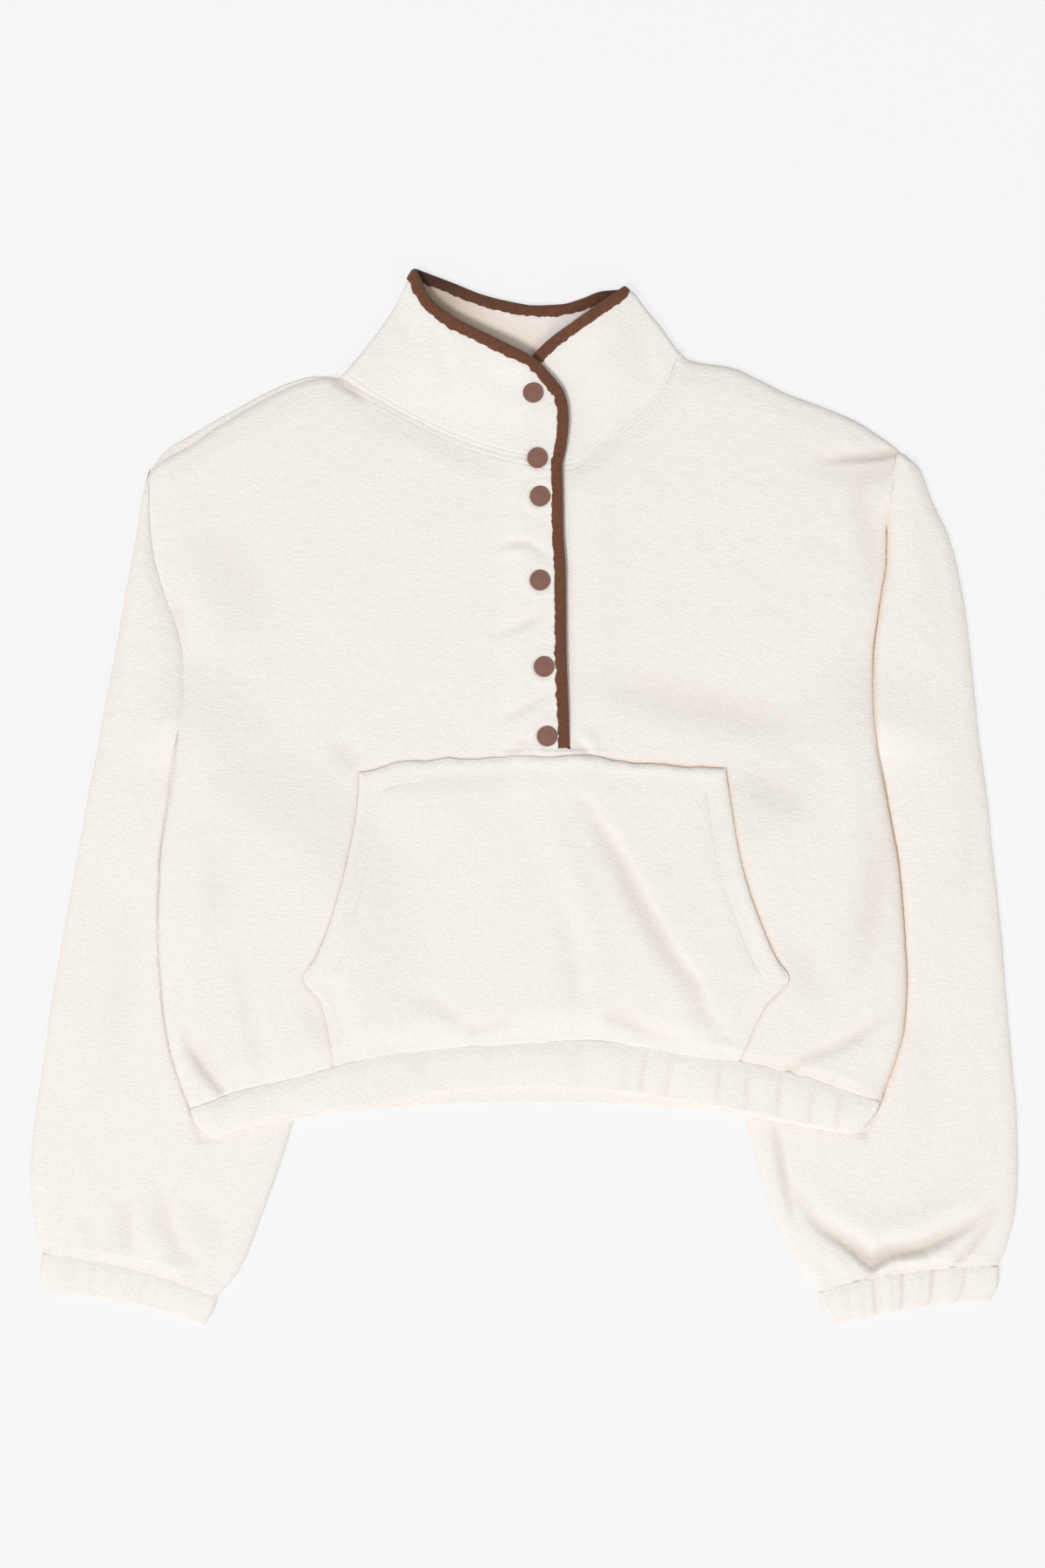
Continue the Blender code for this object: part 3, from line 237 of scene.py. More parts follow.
SLEEVE_RIGHT = (  # station, outer_x, outer_y, inner_x, inner_y
    (0, -277.5, 237.5, -257, 22), (1, -281.5, 220.5, -257, 10), (2, -284.5, 198, -243.5, -9),
    (3, -288.5, 175.5, -224.5, -24), (4, -293, 150, -201.5, -39.5), (5, -298, 123, -179.5, -57),
    (6, -303, 95.5, -163.5, -78.5), (7, -309, 65.5, -154, -104), (8, -314, 34.5, -149.5, -130),
    (9, -321, -0.5, -149.5, -154), (10, -328, -41, -153.5, -179.5), (11, -336.5, -87, -160.5, -207),
    (12, -345.5, -141.5, -169.5, -237.5), (13, -353.5, -192.5, -178, -265), (14, -360, -239, -186, -288),
    (15, -362.5, -275.5, -193.5, -309), (16, -361.5, -301.5, -201.5, -330),
    (17, -358, -322.5, -211.5, -350), (18, -354.5, -334.5, -224.5, -365.5),
)
SLEEVE_LEFT = (  # station, outer_x, outer_y, inner_x, inner_y
    (0, 278, 251.5, 260, 22), (1, 289.5, 241.5, 260, 11.5), (2, 300.5, 214.5, 248, -7),
    (3, 312, 189.5, 229, -23), (4, 319, 162.5, 206.5, -39), (5, 324, 134, 185.5, -55),
    (6, 327.5, 104, 168.5, -77.5), (7, 331, 68, 158.5, -103), (8, 335, 34.5, 153.5, -128.5),
    (9, 339.5, -0.5, 152, -154), (10, 344.5, -45.5, 153.5, -179.5), (11, 349, -93.5, 156.5, -205.5),
    (12, 353.5, -144.5, 161, -231), (13, 358, -195.5, 167.5, -258.5), (14, 361.5, -240.5, 174, -282),
    (15, 362, -275.5, 182, -306), (16, 359.5, -306, 191.5, -329), (17, 354, -329, 203, -349.5),
    (18, 348.5, -344, 214.5, -363.5),
)
CUFF_RIGHT = (  # t, outer_x, outer_y, inner_x, inner_y, bow
    (0, -354.5, -334.9, -224.5, -365.9, 6), (0.5, -356, -348.5, -228.5, -377, 6),
    (1, -352.5, -363, -234.5, -387.2, 5),
)
CUFF_LEFT = (  # t, outer_x, outer_y, inner_x, inner_y, bow
    (0, 348.5, -344.4, 214.5, -363.9, 7), (0.5, 347.5, -357.5, 219.5, -376.5, 6),
    (1, 342, -369.3, 226, -387.2, 4),
)
GATHERS_RIGHT = (  # s, height
    (0.14, 0.5), (0.3, -0.4), (0.46, 0.5), (0.6, -0.5), (0.72, 0.6), (0.88, -0.3),
)
GATHERS_LEFT = (  # s, height
    (0.19, 0.7), (0.29, -0.7), (0.37, 0.8), (0.45, -0.8), (0.54, 0.9), (0.62, -0.8), (0.72, 0.9),
    (0.8, -0.6),
)
HEM_GATHERS = (  # x, height
    (-205, 0.7), (-170, -0.5), (-128, 0.6), (-75, -0.4), (-20, 0.5), (35, -0.4), (87, -0.9), (95, 0.9),
    (106, -0.8), (128, 0.8), (142, -0.9), (152, 0.9), (163, -0.8), (175, 0.8), (186, -0.8), (197, 0.8),
    (210, -0.7), (222, 0.7), (230, -0.7),
)
COLLAR_LAP = (  # v, x, y
    (0, 25.8, 243.2), (0.18, 28.4, 254), (0.36, 29.9, 265), (0.54, 30.6, 275), (0.72, 30.2, 284.5),
    (0.88, 28.6, 292), (1, 26.5, 297.5),
)
COLLAR_TOP_RIGHT = (  # s, x, y, z
    (0, -79.3, 382.1, 9.3), (0.14, -70.5, 364.4, 7.8), (0.27, -55.8, 351.4, 6.4), (0.4, -40, 342.8, 6.2),
    (0.53, -23.2, 334.6, 7.4), (0.65, -7.2, 326.6, 9.9), (0.77, 6.5, 319.4, COLLAR_LAP_MID),
    (0.9, 19.5, 306.4, COLLAR_LAP_MID), (1, 26.5, 297.5, COLLAR_LAP_MID),
)
COLLAR_TOP_BACK = (  # s, x, y
    (0, 70.5, 370.3), (0.12, 57, 369.2), (0.25, 43, 364), (0.38, 27, 359.6), (0.5, 8, 358.8),
    (0.63, -12, 361.8), (0.75, -31, 366.6), (0.87, -53, 375.3), (1, -77.5, 384.6),
)
COLLAR_TOP_LEFT = (  # s, x, y, z
    (0, -3, 309, 5.2), (0.12, 6.2, 321.3, 5.8), (0.28, 19.2, 334.1, 6.8), (0.48, 35.9, 345.8, 7.4),
    (0.75, 55, 359.3, 8.2), (1, 70.5, 370.3, 9.3),
)
SNAPS = (  # x, y, seat
    (6.1, 295.5, COLLAR_LAP_MID), (9.3, 247.8, LAP_MID), (11.2, 219.7, LAP_MID), (11.2, 158.2, LAP_MID),
    (14.1, 94.9, LAP_MID), (16.4, 44, LAP_MID),
)
TAPE_PROFILE = (  # outward, along the normal
    (-6.9, 1.2), (-6.9, 1.9), (-6.3, 2.35), (-4.6, 2.55), (-2.6, 2.62), (-0.6, 2.5), (0.8, 2), (1.5, 1.1),
    (1.75, 0), (1.5, -1.1), (0.8, -2), (-0.6, -2.5), (-2.6, -2.6), (-4.6, -2.5), (-6.3, -2.3),
    (-6.9, -1.9), (-6.9, -1.2),
)
SNAP_PROFILE = (  # radius, height
    (7.2, -0.2), (7.5, 0.35), (7.5, 0.9), (7.25, 1.35), (6.85, 1.62), (6.45, 1.66), (6.1, 1.55),
    (5.2, 1.58), (3.4, 1.72), (1.6, 1.82), (0.35, 1.85),
)

# Creases that lie over the tables' forms: path, height, and half width
# to the left of the path and to its right where that differs
BODY_CREASES = (
    (((46, -4.3), (60.1, -26.7), (73.5, -48.5), (89.2, -80.5), (107.8, -113.1), (125, -135.5),
      (132, -157.2), (145.4, -170.4)), -4.2, 3.2, 9.5),
    (((60, -4.3), (76, -30.6), (90.7, -58.1), (108, -93.3), (127.2, -122.1), (143.2, -150.9)), 1.3, 18, 8),
    (((9.9, 5.9), (30.4, -42.1), (45.8, -90.1), (60.5, -150.2)), 1.6, 12, 14),
    (((26.6, -61.3), (33.6, -106.1), (39.4, -160.5)), -1.2, 8),
    (((-84.8, -144.5), (-68.2, -150.2), (-46.4, -163.7), (-32.3, -173.9)), -1.3, 8),
    (((62.4, -150.9), (78.4, -162.4), (89.3, -167.5)), -1.2, 6),
    (((-20.2, 181.9), (-8, 187), (3.5, 185.8), (18.9, 175.5)), -1.9, 3.2, 4),
    (((-17.6, 175.5), (-4.8, 179.4), (6.1, 177.4)), 0.6, 5),
    (((-17, 120.5), (-1.6, 126.9), (12.5, 135.2)), -1.8, 3.4, 5),
    (((-17, 56.5), (-0.3, 65.4), (17.6, 75.7)), -1.5, 3.4, 5),
    (((-12.5, 30.9), (-4.8, 39.2), (6.1, 41.1)), -1.4, 3.5),
    (((34.9, 43.7), (41.9, 39.8), (47, 30.9), (52.2, 24.5)), -1.6, 3.5),
    (((39.4, 46.2), (48.3, 41.1), (54.7, 32.2)), 1.6, 5),
    (((51.5, 83.4), (94.4, 75.7), (141.8, 65.4), (184, 56.5), (213.4, 47.5)), -2.3, 18, 15),
    (((153.3, 18.1), (177.6, 7.8), (209.6, -10.1)), -1.7, 13),
    (((206.4, -188), (225.6, -182.9), (243.5, -173.9), (264, -157.3)), -2.7, 4, 5.5),
    (((193.6, -99.7), (206.4, -125.3), (219.2, -150.9)), -1.4, 12),
    (((257, -6.9), (262.1, -38.9), (256.3, -80.5), (244.8, -125.3)), -2.8, 10, 12),
    (((-226.9, -24.2), (-224.3, -61.3), (-221.1, -102.2)), -1, 12),
    (((-241.6, -173.9), (-233.3, -192.5), (-223.7, -209.8)), -1.5, 8),
    (((-211, -106), (-206.5, -138.1), (-200, -170.1), (-190.6, -200.6)), -1.1, 7),
    (((-161.6, -144.5), (-147.5, -166.9), (-139.2, -186.1)), -1.2, 9),
    (((-139.8, 47.5), (-130.9, 33.4), (-121.9, 20.6)), -1.6, 9),
    (((-235.8, 203.7), (-212.8, 165.9), (-187.8, 125.6)), -1.4, 22),
    (((262, 240), (236, 240), (206, 244)), -1.6, 9, 12),
    (((-130.9, 295.8), (-110.4, 277.9), (-84.8, 266.4)), -0.9, 9),
)
SLEEVE_LEFT_CREASES = (
    (((200.6, -294.2), (209.6, -307.7), (217.9, -317.3), (238.4, -330.1), (255, -344.2), (267.2, -335.8),
      (292.8, -331.4), (312, -321.8), (329.9, -312.2), (345.3, -300)), -7.2, 9.5, 4),
    (((206.4, -286.6), (228.8, -307.7), (256.3, -322.4), (286.4, -318.6), (318.4, -303.2),
      (344, -285.3)), 2.7, 15, 12),
    (((193, -308), (204, -322), (222, -335), (243, -350)), 1.1, 5, 6),
    (((262, -349), (290, -341), (316, -330), (338, -318)), 1.6, 5, 6),
    (((255, -333.9), (255.7, -342.9), (257, -354.4)), -1.6, 3.5),
    (((238.4, -341), (249.3, -354.4), (259.5, -363.4)), -1.2, 6),
    (((313.3, -344.2), (329.9, -326.2), (346.6, -305.8)), -4, 3.5, 4),
    (((182.1, -227.7), (183.4, -237.9), (187.2, -261), (193, -291.7), (198.7, -312.2)), -4, 3.5, 4.5),
    (((280, -131.7), (292.8, -195.7), (296, -266.1)), -1, 18),
    (((324.8, 60.3), (326.1, -29.3), (323.5, -106.1)), -0.9, 14),
    (((286.4, 226.7), (299.2, 175.5), (305.6, 124.3)), -0.9, 10),
)
SLEEVE_RIGHT_CREASES = (
    (((-288.3, -286.7), (-289.6, -310.9), (-287.7, -337.8)), -1.9, 3.5, 14),
    (((-267.2, -280.2), (-260.5, -312.8), (-253.8, -332), (-232, -342.9)), -2.1, 5, 11),
    (((-252.5, -291.7), (-232, -310.9), (-217.9, -336.5)), -1.2, 10),
    (((-324.2, -298.1), (-319, -320.5), (-313.9, -336.5)), -1.2, 8),
    (((-276.8, -304.5), (-271.7, -323.7), (-260.2, -342.9)), 1.2, 10),
    (((-289.6, -61.3), (-296, -138.1), (-303.7, -221.3)), -1.1, 18),
    (((-292, 166.7), (-300.5, 102.7), (-304.5, 35.9)), -0.9, 12),
)
COLLAR_CREASES = (
    (((-62, 348), (-60, 325), (-54, 300)), -1.4, 5),
    (((-40, 300), (-10, 290), (14, 286)), 0.6, 12),
    (((98, 300), (90, 320), (84, 345)), -0.8, 8),
    (((116, 318), (106, 326), (100, 340)), -0.8, 5),
    (((60, 280), (66, 300), (68, 330)), 0.6, 12),
)
# Creases that start at an edge of the body and run out inside it
EDGE_CREASES = (
    (((278.1, 253), (258.2, 249.1), (238.4, 247.8), (206.7, 246)), -3, 3, 4.6),
    (((273.6, 242.7), (254.4, 236.3), (235.2, 234.4)), -1.2, 9),
    (((-137.3, 305.4), (-129.6, 301.6), (-121.9, 295.8), (-112.2, 287.4)), -3.4, 2.8, 3.6),
    (((-222.3, -213.6), (-235, -199.5), (-245, -184), (-252, -160.5)), -2.2, 4.5, 3),
    (((-254.4, 137.1), (-255.7, 73.1), (-260.2, 9.1), (-264, -42.1)), -0.8, 6, 8),
    (((-36.8, -170.1), (-17.6, -165), (-1.6, -167.5)), -0.8, 4, 5),
    (((62.4, -162.4), (89.3, -172.6), (120, -179)), -0.9, 5, 4),
    (((193.6, -198.9), (209.6, -190.6), (230.1, -185.4)), -0.9, 4),
    (((244.8, 226.7), (256.3, 175.5), (254.4, 124.3)), -0.8, 9),
)


# ---------------- curves
def curve(xs, ys):
    """A curve through points, with no overshoot between them."""
    steps = np.diff(xs)
    slopes = np.diff(ys) / steps
    both = slopes[:-1] * slopes[1:]
    total = np.where(both > 0, slopes[:-1] + slopes[1:], 1.0)
    tangents = np.concatenate([slopes[:1], np.where(both > 0, 2 * both / total, 0.0), slopes[-1:]])

    def at(x):
        x = np.clip(x, xs[0], xs[-1])
        k = np.clip(np.searchsorted(xs, x, side="right") - 1, 0, len(slopes) - 1)
        t = (x - xs[k]) / steps[k]
        return (
            ys[k] * (1 + 2 * t) * (1 - t) ** 2
            + tangents[k] * steps[k] * t * (1 - t) ** 2
            + ys[k + 1] * t * t * (3 - 2 * t)
            + tangents[k + 1] * steps[k] * t * t * (t - 1)
        )

    return at


def curves(table):
    """A curve for each further column of a table over its first one."""
    columns = np.array(table, float).T
    return [curve(columns[0], column) for column in columns[1:]]


def ease(t):
    t = np.clip(t, 0.0, 1.0)
    return t * t * (3 - 2 * t)


def mix(a, b, t):
    return a + (b - a) * t


def roll(distance, radius):
    """0 at an edge, 1 from a radius inside it, round between."""
    return np.sqrt(1 - (1 - np.clip(distance / radius, 0.0, 1.0)) ** 2)


def bump(distance, width):
    return np.exp(-((distance / width) ** 2))


def join(*values):
    """One array whose last axis holds the values, spread to one shape."""
    return np.stack(np.broadcast_arrays(*values), -1)


def to_segment(x, y, a, b):
    """Share along a segment at which each point is nearest to it, and the offset from there."""
    dx, dy = b[0] - a[0], b[1] - a[1]
    t = np.clip(((x - a[0]) * dx + (y - a[1]) * dy) / max(dx * dx + dy * dy, TINY), 0.0, 1.0)
    return t, x - a[0] - t * dx, y - a[1] - t * dy


def to_path(x, y, path):
    """Distance to a path, the side of it (above 0 to its left) and the place along it."""
    best = np.full(np.shape(x), np.inf)
    side, place = np.zeros(np.shape(x)), np.zeros(np.shape(x))
    total = sum(math.dist(a, b) for a, b in zip(path, path[1:]))
    start = 0.0
    for a, b in zip(path, path[1:]):
        length = math.dist(a, b)
        t, rx, ry = to_segment(x, y, a, b)
        distance = np.hypot(rx, ry)
        nearer = distance < best
        best = np.where(nearer, distance, best)
        side = np.where(nearer, (b[0] - a[0]) * ry - (b[1] - a[1]) * rx, side)
        place = np.where(nearer, (start + t * length) / total, place)
        start += length
    return best, side, place


def crease_height(table, x, y, open_ended=False):
    """Height of the creases, which fade at both ends, or towards the last one if open ended."""
    total = np.zeros(np.shape(x))
    for path, height, *widths in table:
        distance, side, place = to_path(x, y, path)
        fade = np.sin(np.pi * np.clip(place, CREASE_END, 1 - CREASE_END)) ** CREASE_SWELL
        if open_ended:
            fade = 1 - ease((place - CREASE_FULL) / (1 - CREASE_FULL))
        total += height * fade * bump(distance, np.where(side > 0, widths[0], widths[-1]))
    return total


def crease_shade(height, full, most):
    return np.clip(-height / full, 0.0, most)


side_right, side_left = curves(SIDES)
guide_right, guide_left = curves(GUIDES)
[lap_edge] = curves(LAP_EDGE)
[shoulder_front] = curves(FRONT_SHOULDER_RIGHT)
[shoulder_back] = curves(BACK_SHOULDER_RIGHT)
[shoulder_left] = curves(SHOULDER_LEFT)
[neck_front] = curves(FRONT_NECK)
[neck_back] = curves(BACK_NECK)
hem_seam, hem_front, hem_back = curves(HEM)
hem_right, hem_left = curves(HEM_ENDS)
[pocket_top] = curves(POCKET_TOP)
NECK_RIGHT, NECK_LEFT = FRONT_NECK[0][0], SHOULDER_LEFT[0][0]


def top_of(shoulder, neck):
    def at(x):
        return np.where(x < NECK_RIGHT, shoulder(x), np.where(x > NECK_LEFT, shoulder_left(x), neck(x)))

    return at


front_top = top_of(shoulder_front, neck_front)
back_top = top_of(shoulder_back, neck_back)


class Sleeve:
    """Plan of a flattened sleeve, as pairs of points on its outer and its inner side."""

    def __init__(self, table, side, top, bow, cap):
        self.cap = cap
        self.curves = curves(table)
        self.last = table[-1][0]
        self.side = side
        self.sign = -1 if side is side_right else 1
        self.top, self.top_station = top
        self.bow = bow
        self.underarm = float(self.curves[3](0.0))

    def closed(self, t):
        ox, oy, ix, iy = self.curves
        outer_at = mix(UNDERARM_STATION, self.last, t**SLEEVE_LAG)
        inner_at = t * self.last
        return join(ox(outer_at), oy(outer_at)), join(ix(inner_at), iy(inner_at))

    def opened(self, y):
        ox, oy = self.curves[:2]
        at = mix(self.top_station, UNDERARM_STATION, (self.top - y) / (self.top - self.underarm))
        return join(ox(at), oy(at)), join(self.side(y) + self.sign * SLEEVE_OUT, y)


sleeve_right = Sleeve(SLEEVE_RIGHT, side_right, SLEEVE_TOP_RIGHT, 6.0, (-275.6, 240.3))
sleeve_left = Sleeve(SLEEVE_LEFT, side_left, SLEEVE_TOP_LEFT, 7.0, (278.5, 251.5))
SECTION_SHARES = np.linspace(0, 1, 60)
SECTIONS = [
    (outer, inner)
    for sleeve in (sleeve_right, sleeve_left)
    for outer, inner in zip(*sleeve.closed(SECTION_SHARES))
]


def lift(x, y):
    """Rise of the body over the sleeves that lie under it."""
    x, y = np.broadcast_arrays(np.asarray(x, float), np.asarray(y, float))
    result = np.zeros(x.shape)
    low = y < sleeve_right.underarm + LIFT_FLAT + LIFT_RAMP
    px, py = x[low], y[low]
    best = np.full(px.shape, np.inf)
    for a, b in SECTIONS:
        best = np.minimum(best, np.hypot(*to_segment(px, py, a, b)[1:]))
    result[low] = LIFT * (1 - ease((best - LIFT_FLAT) / LIFT_RAMP))
    return result


def body_outline():
    """Points 5 mm apart round the body, from the right end of the hem clockwise."""
    ts = np.linspace(1, 0, 4)
    up, over, low = np.arange(-220, 240, 5), np.arange(-275, 276, 5), np.arange(240, -233, -5)
    parts = (
        join(hem_right(ts), mix(HEM[0][1], HEM[0][3], ts)),
        join(side_right(up), up),
        join(over, back_top(over)),
        join(side_left(up[::-1]), up[::-1]),
        join(hem_left(ts[::-1]), mix(HEM[-1][1], HEM[-1][3], ts[::-1])),
        join(low, hem_back(low)),
    )
    return np.concatenate(parts)


BODY_OUTLINE = body_outline()


def beyond_body(x, y):
    """Distance from the body's outline, 0 inside it."""
    inside = np.zeros(np.shape(x), bool)
    nearest = np.full(np.shape(x), np.inf)
    for a, b in zip(BODY_OUTLINE, np.roll(BODY_OUTLINE, -1, axis=0)):
        crosses = (a[1] > y) != (b[1] > y)
        with np.errstate(divide="ignore", invalid="ignore"):
            inside ^= crosses & (x < a[0] + (y - a[1]) * (b[0] - a[0]) / (b[1] - a[1]))
        nearest = np.minimum(nearest, np.hypot(*to_segment(x, y, a, b)[1:]))
    return np.where(inside, 0.0, nearest)


def lap_rise(x, y, on_lap):
    """Rise of the front onto the placket, before, on and beside the overlap."""
    edge = lap_edge(y)
    past_foot = ease((y - SLIT_FOOT) / FOOT_SPREAD)
    near_side = ease((x - edge + LAP_WIDTH + LAP_SLOPE) / LAP_SLOPE)
    far_side = 1 - ease((x - edge) / FOOT_SPREAD)
    foot = (FOOT_RISE + 0.6) * near_side * far_side * ease((y + 12) / (SLIT_FOOT + 12))
    above = (LAP_MID - FRONT_MID) * near_side
    beside = FOOT_RISE * far_side * (1 - past_foot)
    along = past_foot * ease((front_top(x) - y) / 20)
    farther = 1 - ease((x - edge - 9) / FOOT_SPREAD)
    beside = beside + BESIDE_RISE * along * ease((x - edge - 1) / 7) * farther
    return np.where(y < SLIT_FOOT - 0.01, foot, np.where(on_lap, above, beside))


def front_height(x, y, on_lap):
    """Height of the front panel's middle."""
    edge = lap_edge(y)
    loft = ease((x - side_right(y)) / PUFF_RAMP) * ease((side_left(y) - x) / PUFF_RAMP)
    loft = loft * ease((y - hem_seam(x)) / HEM_RAMP) * ease((front_top(x) - y) / TOP_RAMP)
    gap = np.where(on_lap, edge - LAP_WIDTH - x, x - edge - SLIT)
    slit = np.where(y > SLIT_FOOT - 1, ease(gap / PUFF_RAMP), 1.0)
    soft = loft * slit * BODY_LOFT + loft * mix(slit, 1.0, 0.8) * crease_height(BODY_CREASES, x, y)
    soft = soft + ease((front_top(x) - y + 1) / 6) * crease_height(EDGE_CREASES, x, y, True)
    return lift(x, y) + FRONT_MID + soft + lap_rise(x, y, on_lap)


# ---------------- meshes
def lumps(points, size, seed):
    """Smooth noise from -1 to 1 with lumps of a size, the same at every run."""
    lattice = np.random.default_rng(seed).uniform(-1, 1, (LATTICE, LATTICE, LATTICE))
    cell = points / size
    base = np.floor(cell).astype(int)
    part = cell - base
    part = part * part * (3 - 2 * part)
    total = np.zeros(points.shape[:-1])
    for corner in np.ndindex(2, 2, 2):
        weight = np.ones(points.shape[:-1])
        index = []
        for axis in range(3):
            weight = weight * (part[..., axis] if corner[axis] else 1 - part[..., axis])
            index.append((base[..., axis] + corner[axis]) % LATTICE)
        total += weight * lattice[tuple(index)]
    return total


def unit(vectors):
    return vectors / np.maximum(np.linalg.norm(vectors, axis=-1, keepdims=True), TINY)


def grid_normals(grid, wrap=False):
    """Normals of a grid whose columns run to the right of its rows."""
    if wrap:
        along = np.roll(grid, -1, axis=1) - np.roll(grid, 1, axis=1)
    else:
        along = np.gradient(grid, axis=1)
    return unit(np.cross(along, np.gradient(grid, axis=0)))


def pile(grid, seed, wrap=False, strength=1.0):
    """Moves a grid of points along its normals, as tufts of pile stand out of knitted cloth."""
    height = sum(rise * lumps(grid, size, seed + k) for k, (rise, size) in enumerate(TUFTS))
    return grid + grid_normals(grid, wrap) * height[..., None] * strength


def add_object(name, data):
    made = bpy.data.objects.new(name, data)
    bpy.context.scene.collection.objects.link(made)
    return made


def to_mesh(name, grids, attributes):
    """A mesh from grids, each (points, wrap, cells left out or None)."""
    points, quads, start = [], [], 0
    for grid, wrap, holes in grids:
        rows, columns = grid.shape[:2]
        index = np.arange(rows * columns).reshape(rows, columns) + start
        after = np.roll(index, -1, axis=1)
        cells = np.stack([index[:-1], after[:-1], after[1:], index[1:]], -1)
        if not wrap:
            cells = cells[:, :-1]
        keep = np.ones(cells.shape[:2], bool) if holes is None else ~holes
        quads.append(cells[keep])
        points.append(grid.reshape(-1, 3))
        start += rows * columns
    points, quads = np.concatenate(points), np.concatenate(quads)
    used, quads = np.unique(quads, return_inverse=True)
    quads = quads.reshape(-1, 4)
    mesh = bpy.data.meshes.new(name)
    mesh.vertices.add(len(used))
    mesh.vertices.foreach_set("co", (points[used] * MM).astype(np.float32).ravel())
    mesh.loops.add(quads.size)
    mesh.loops.foreach_set("vertex_index", quads.astype(np.int32).ravel())
    mesh.polygons.add(len(quads))
    mesh.polygons.foreach_set("loop_start", np.arange(0, quads.size, 4, dtype=np.int32))
    mesh.update(calc_edges=True)
    mesh.polygons.foreach_set("use_smooth", np.ones(len(quads), bool))
    for key, values in attributes.items():
        layer = mesh.attributes.new(key, "FLOAT", "POINT")
        layer.data.foreach_set("value", np.ravel(values)[used].astype(np.float32))
    return add_object(name, mesh)


def piece(name, grids, surface, slot, node, **attributes):
    made = to_mesh(name, grids, attributes)
    made.data.materials.append(surface)
    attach(made, "root")
    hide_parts(node)
    return made


def fleece_piece(node, slot, grids, painted_shade, stitch=FAR, line=0.0):
    """Fleece, with each point's painted shade, distance to a stitch and warm painted shade along a line.
    """
    spread = {"painted_shade": painted_shade, "stitch": stitch + 0 * painted_shade, "line": line + 0 * painted_shade}
    return piece("fleece_" + node, grids, cream, slot, node, **spread)


def mend(made, change):
    mesh = bmesh.new()
    mesh.from_mesh(made.data)
    change(mesh)
    mesh.to_mesh(made.data)
    mesh.free()
    return made


def weld(made):
    """Joins points that lie in one place."""
    return mend(made, lambda mesh: bmesh.ops.remove_doubles(mesh, verts=mesh.verts, dist=WELD))


def close_rim(mesh):
    rim = [edge for edge in mesh.edges if edge.is_boundary]
    bmesh.ops.holes_fill(mesh, edges=rim, sides=0)


def shares(count, first=0.0, last=0.0, rim=5):
    """Places from 0 to 1, closer together within first and last of the ends."""
    angles = np.linspace(0, math.pi / 2, rim + 1)[:-1]
    start = first * (1 - np.cos(angles)) if first else np.zeros(0)
    end = 1 - last * (1 - np.cos(angles[::-1])) if last else np.zeros(0)
    return np.concatenate([start, np.linspace(first, 1 - last, count + 1), end])


def double(middle, wrap, seam_dip):
    """Outer face, rolled edge and inner face of a wall whose last row is its free edge."""
    half = WALL / 2
    normals = grid_normals(middle, wrap)
    thick = half - seam_dip * bump(np.arange(len(middle)), 2.0)[:, None, None]
    beyond = unit(middle[-1] - middle[-2])
    edge = [
        middle[-1] + half * (normals[-1] * math.sin(angle) + beyond * math.cos(angle))
        for angle in np.radians((67, 45, 22, 0, -22, -45, -67))
    ]
    return np.concatenate([middle + normals * thick, np.array(edge), (middle - normals * thick)[::-1]])


def close_up(grid, middle, wrap):
    """Adds rows, and columns where it isn't a ring, that close a doubled wall's open edges."""
    count = len(grid) - 2 * len(middle)
    if not wrap:
        spine = np.concatenate([middle, np.repeat(middle[-1:], count, 0), middle[::-1]])
        grid = np.concatenate([spine[:, :1], grid, spine[:, -1:]], 1)
        middle = np.concatenate([middle[:, :1], middle, middle[:, -1:]], 1)
    return np.concatenate([middle[:1], grid, middle[:1]])


def thick_wall(middle, wrap, seam_dip, seed, strength):
    """A closed wall of fleece on both sides of its middle, none of it under the surface."""
    grid = close_up(pile(double(middle, wrap, seam_dip), seed, wrap, strength), middle, wrap)
    grid[..., 2] = np.maximum(grid[..., 2], 0.0)
    return grid


def round_end(start, end, outward, count):
    """Columns that carry a wall's middle round from one layer's edge to the other's."""
    half = (end - start) / 2
    reach = np.abs(half[:, 2:])
    angles = np.radians(np.linspace(-90, 90, count + 2)[1:-1])
    turn = [start + half + outward * reach * math.cos(a) + half * math.sin(a) for a in angles]
    return np.stack(turn, 1)


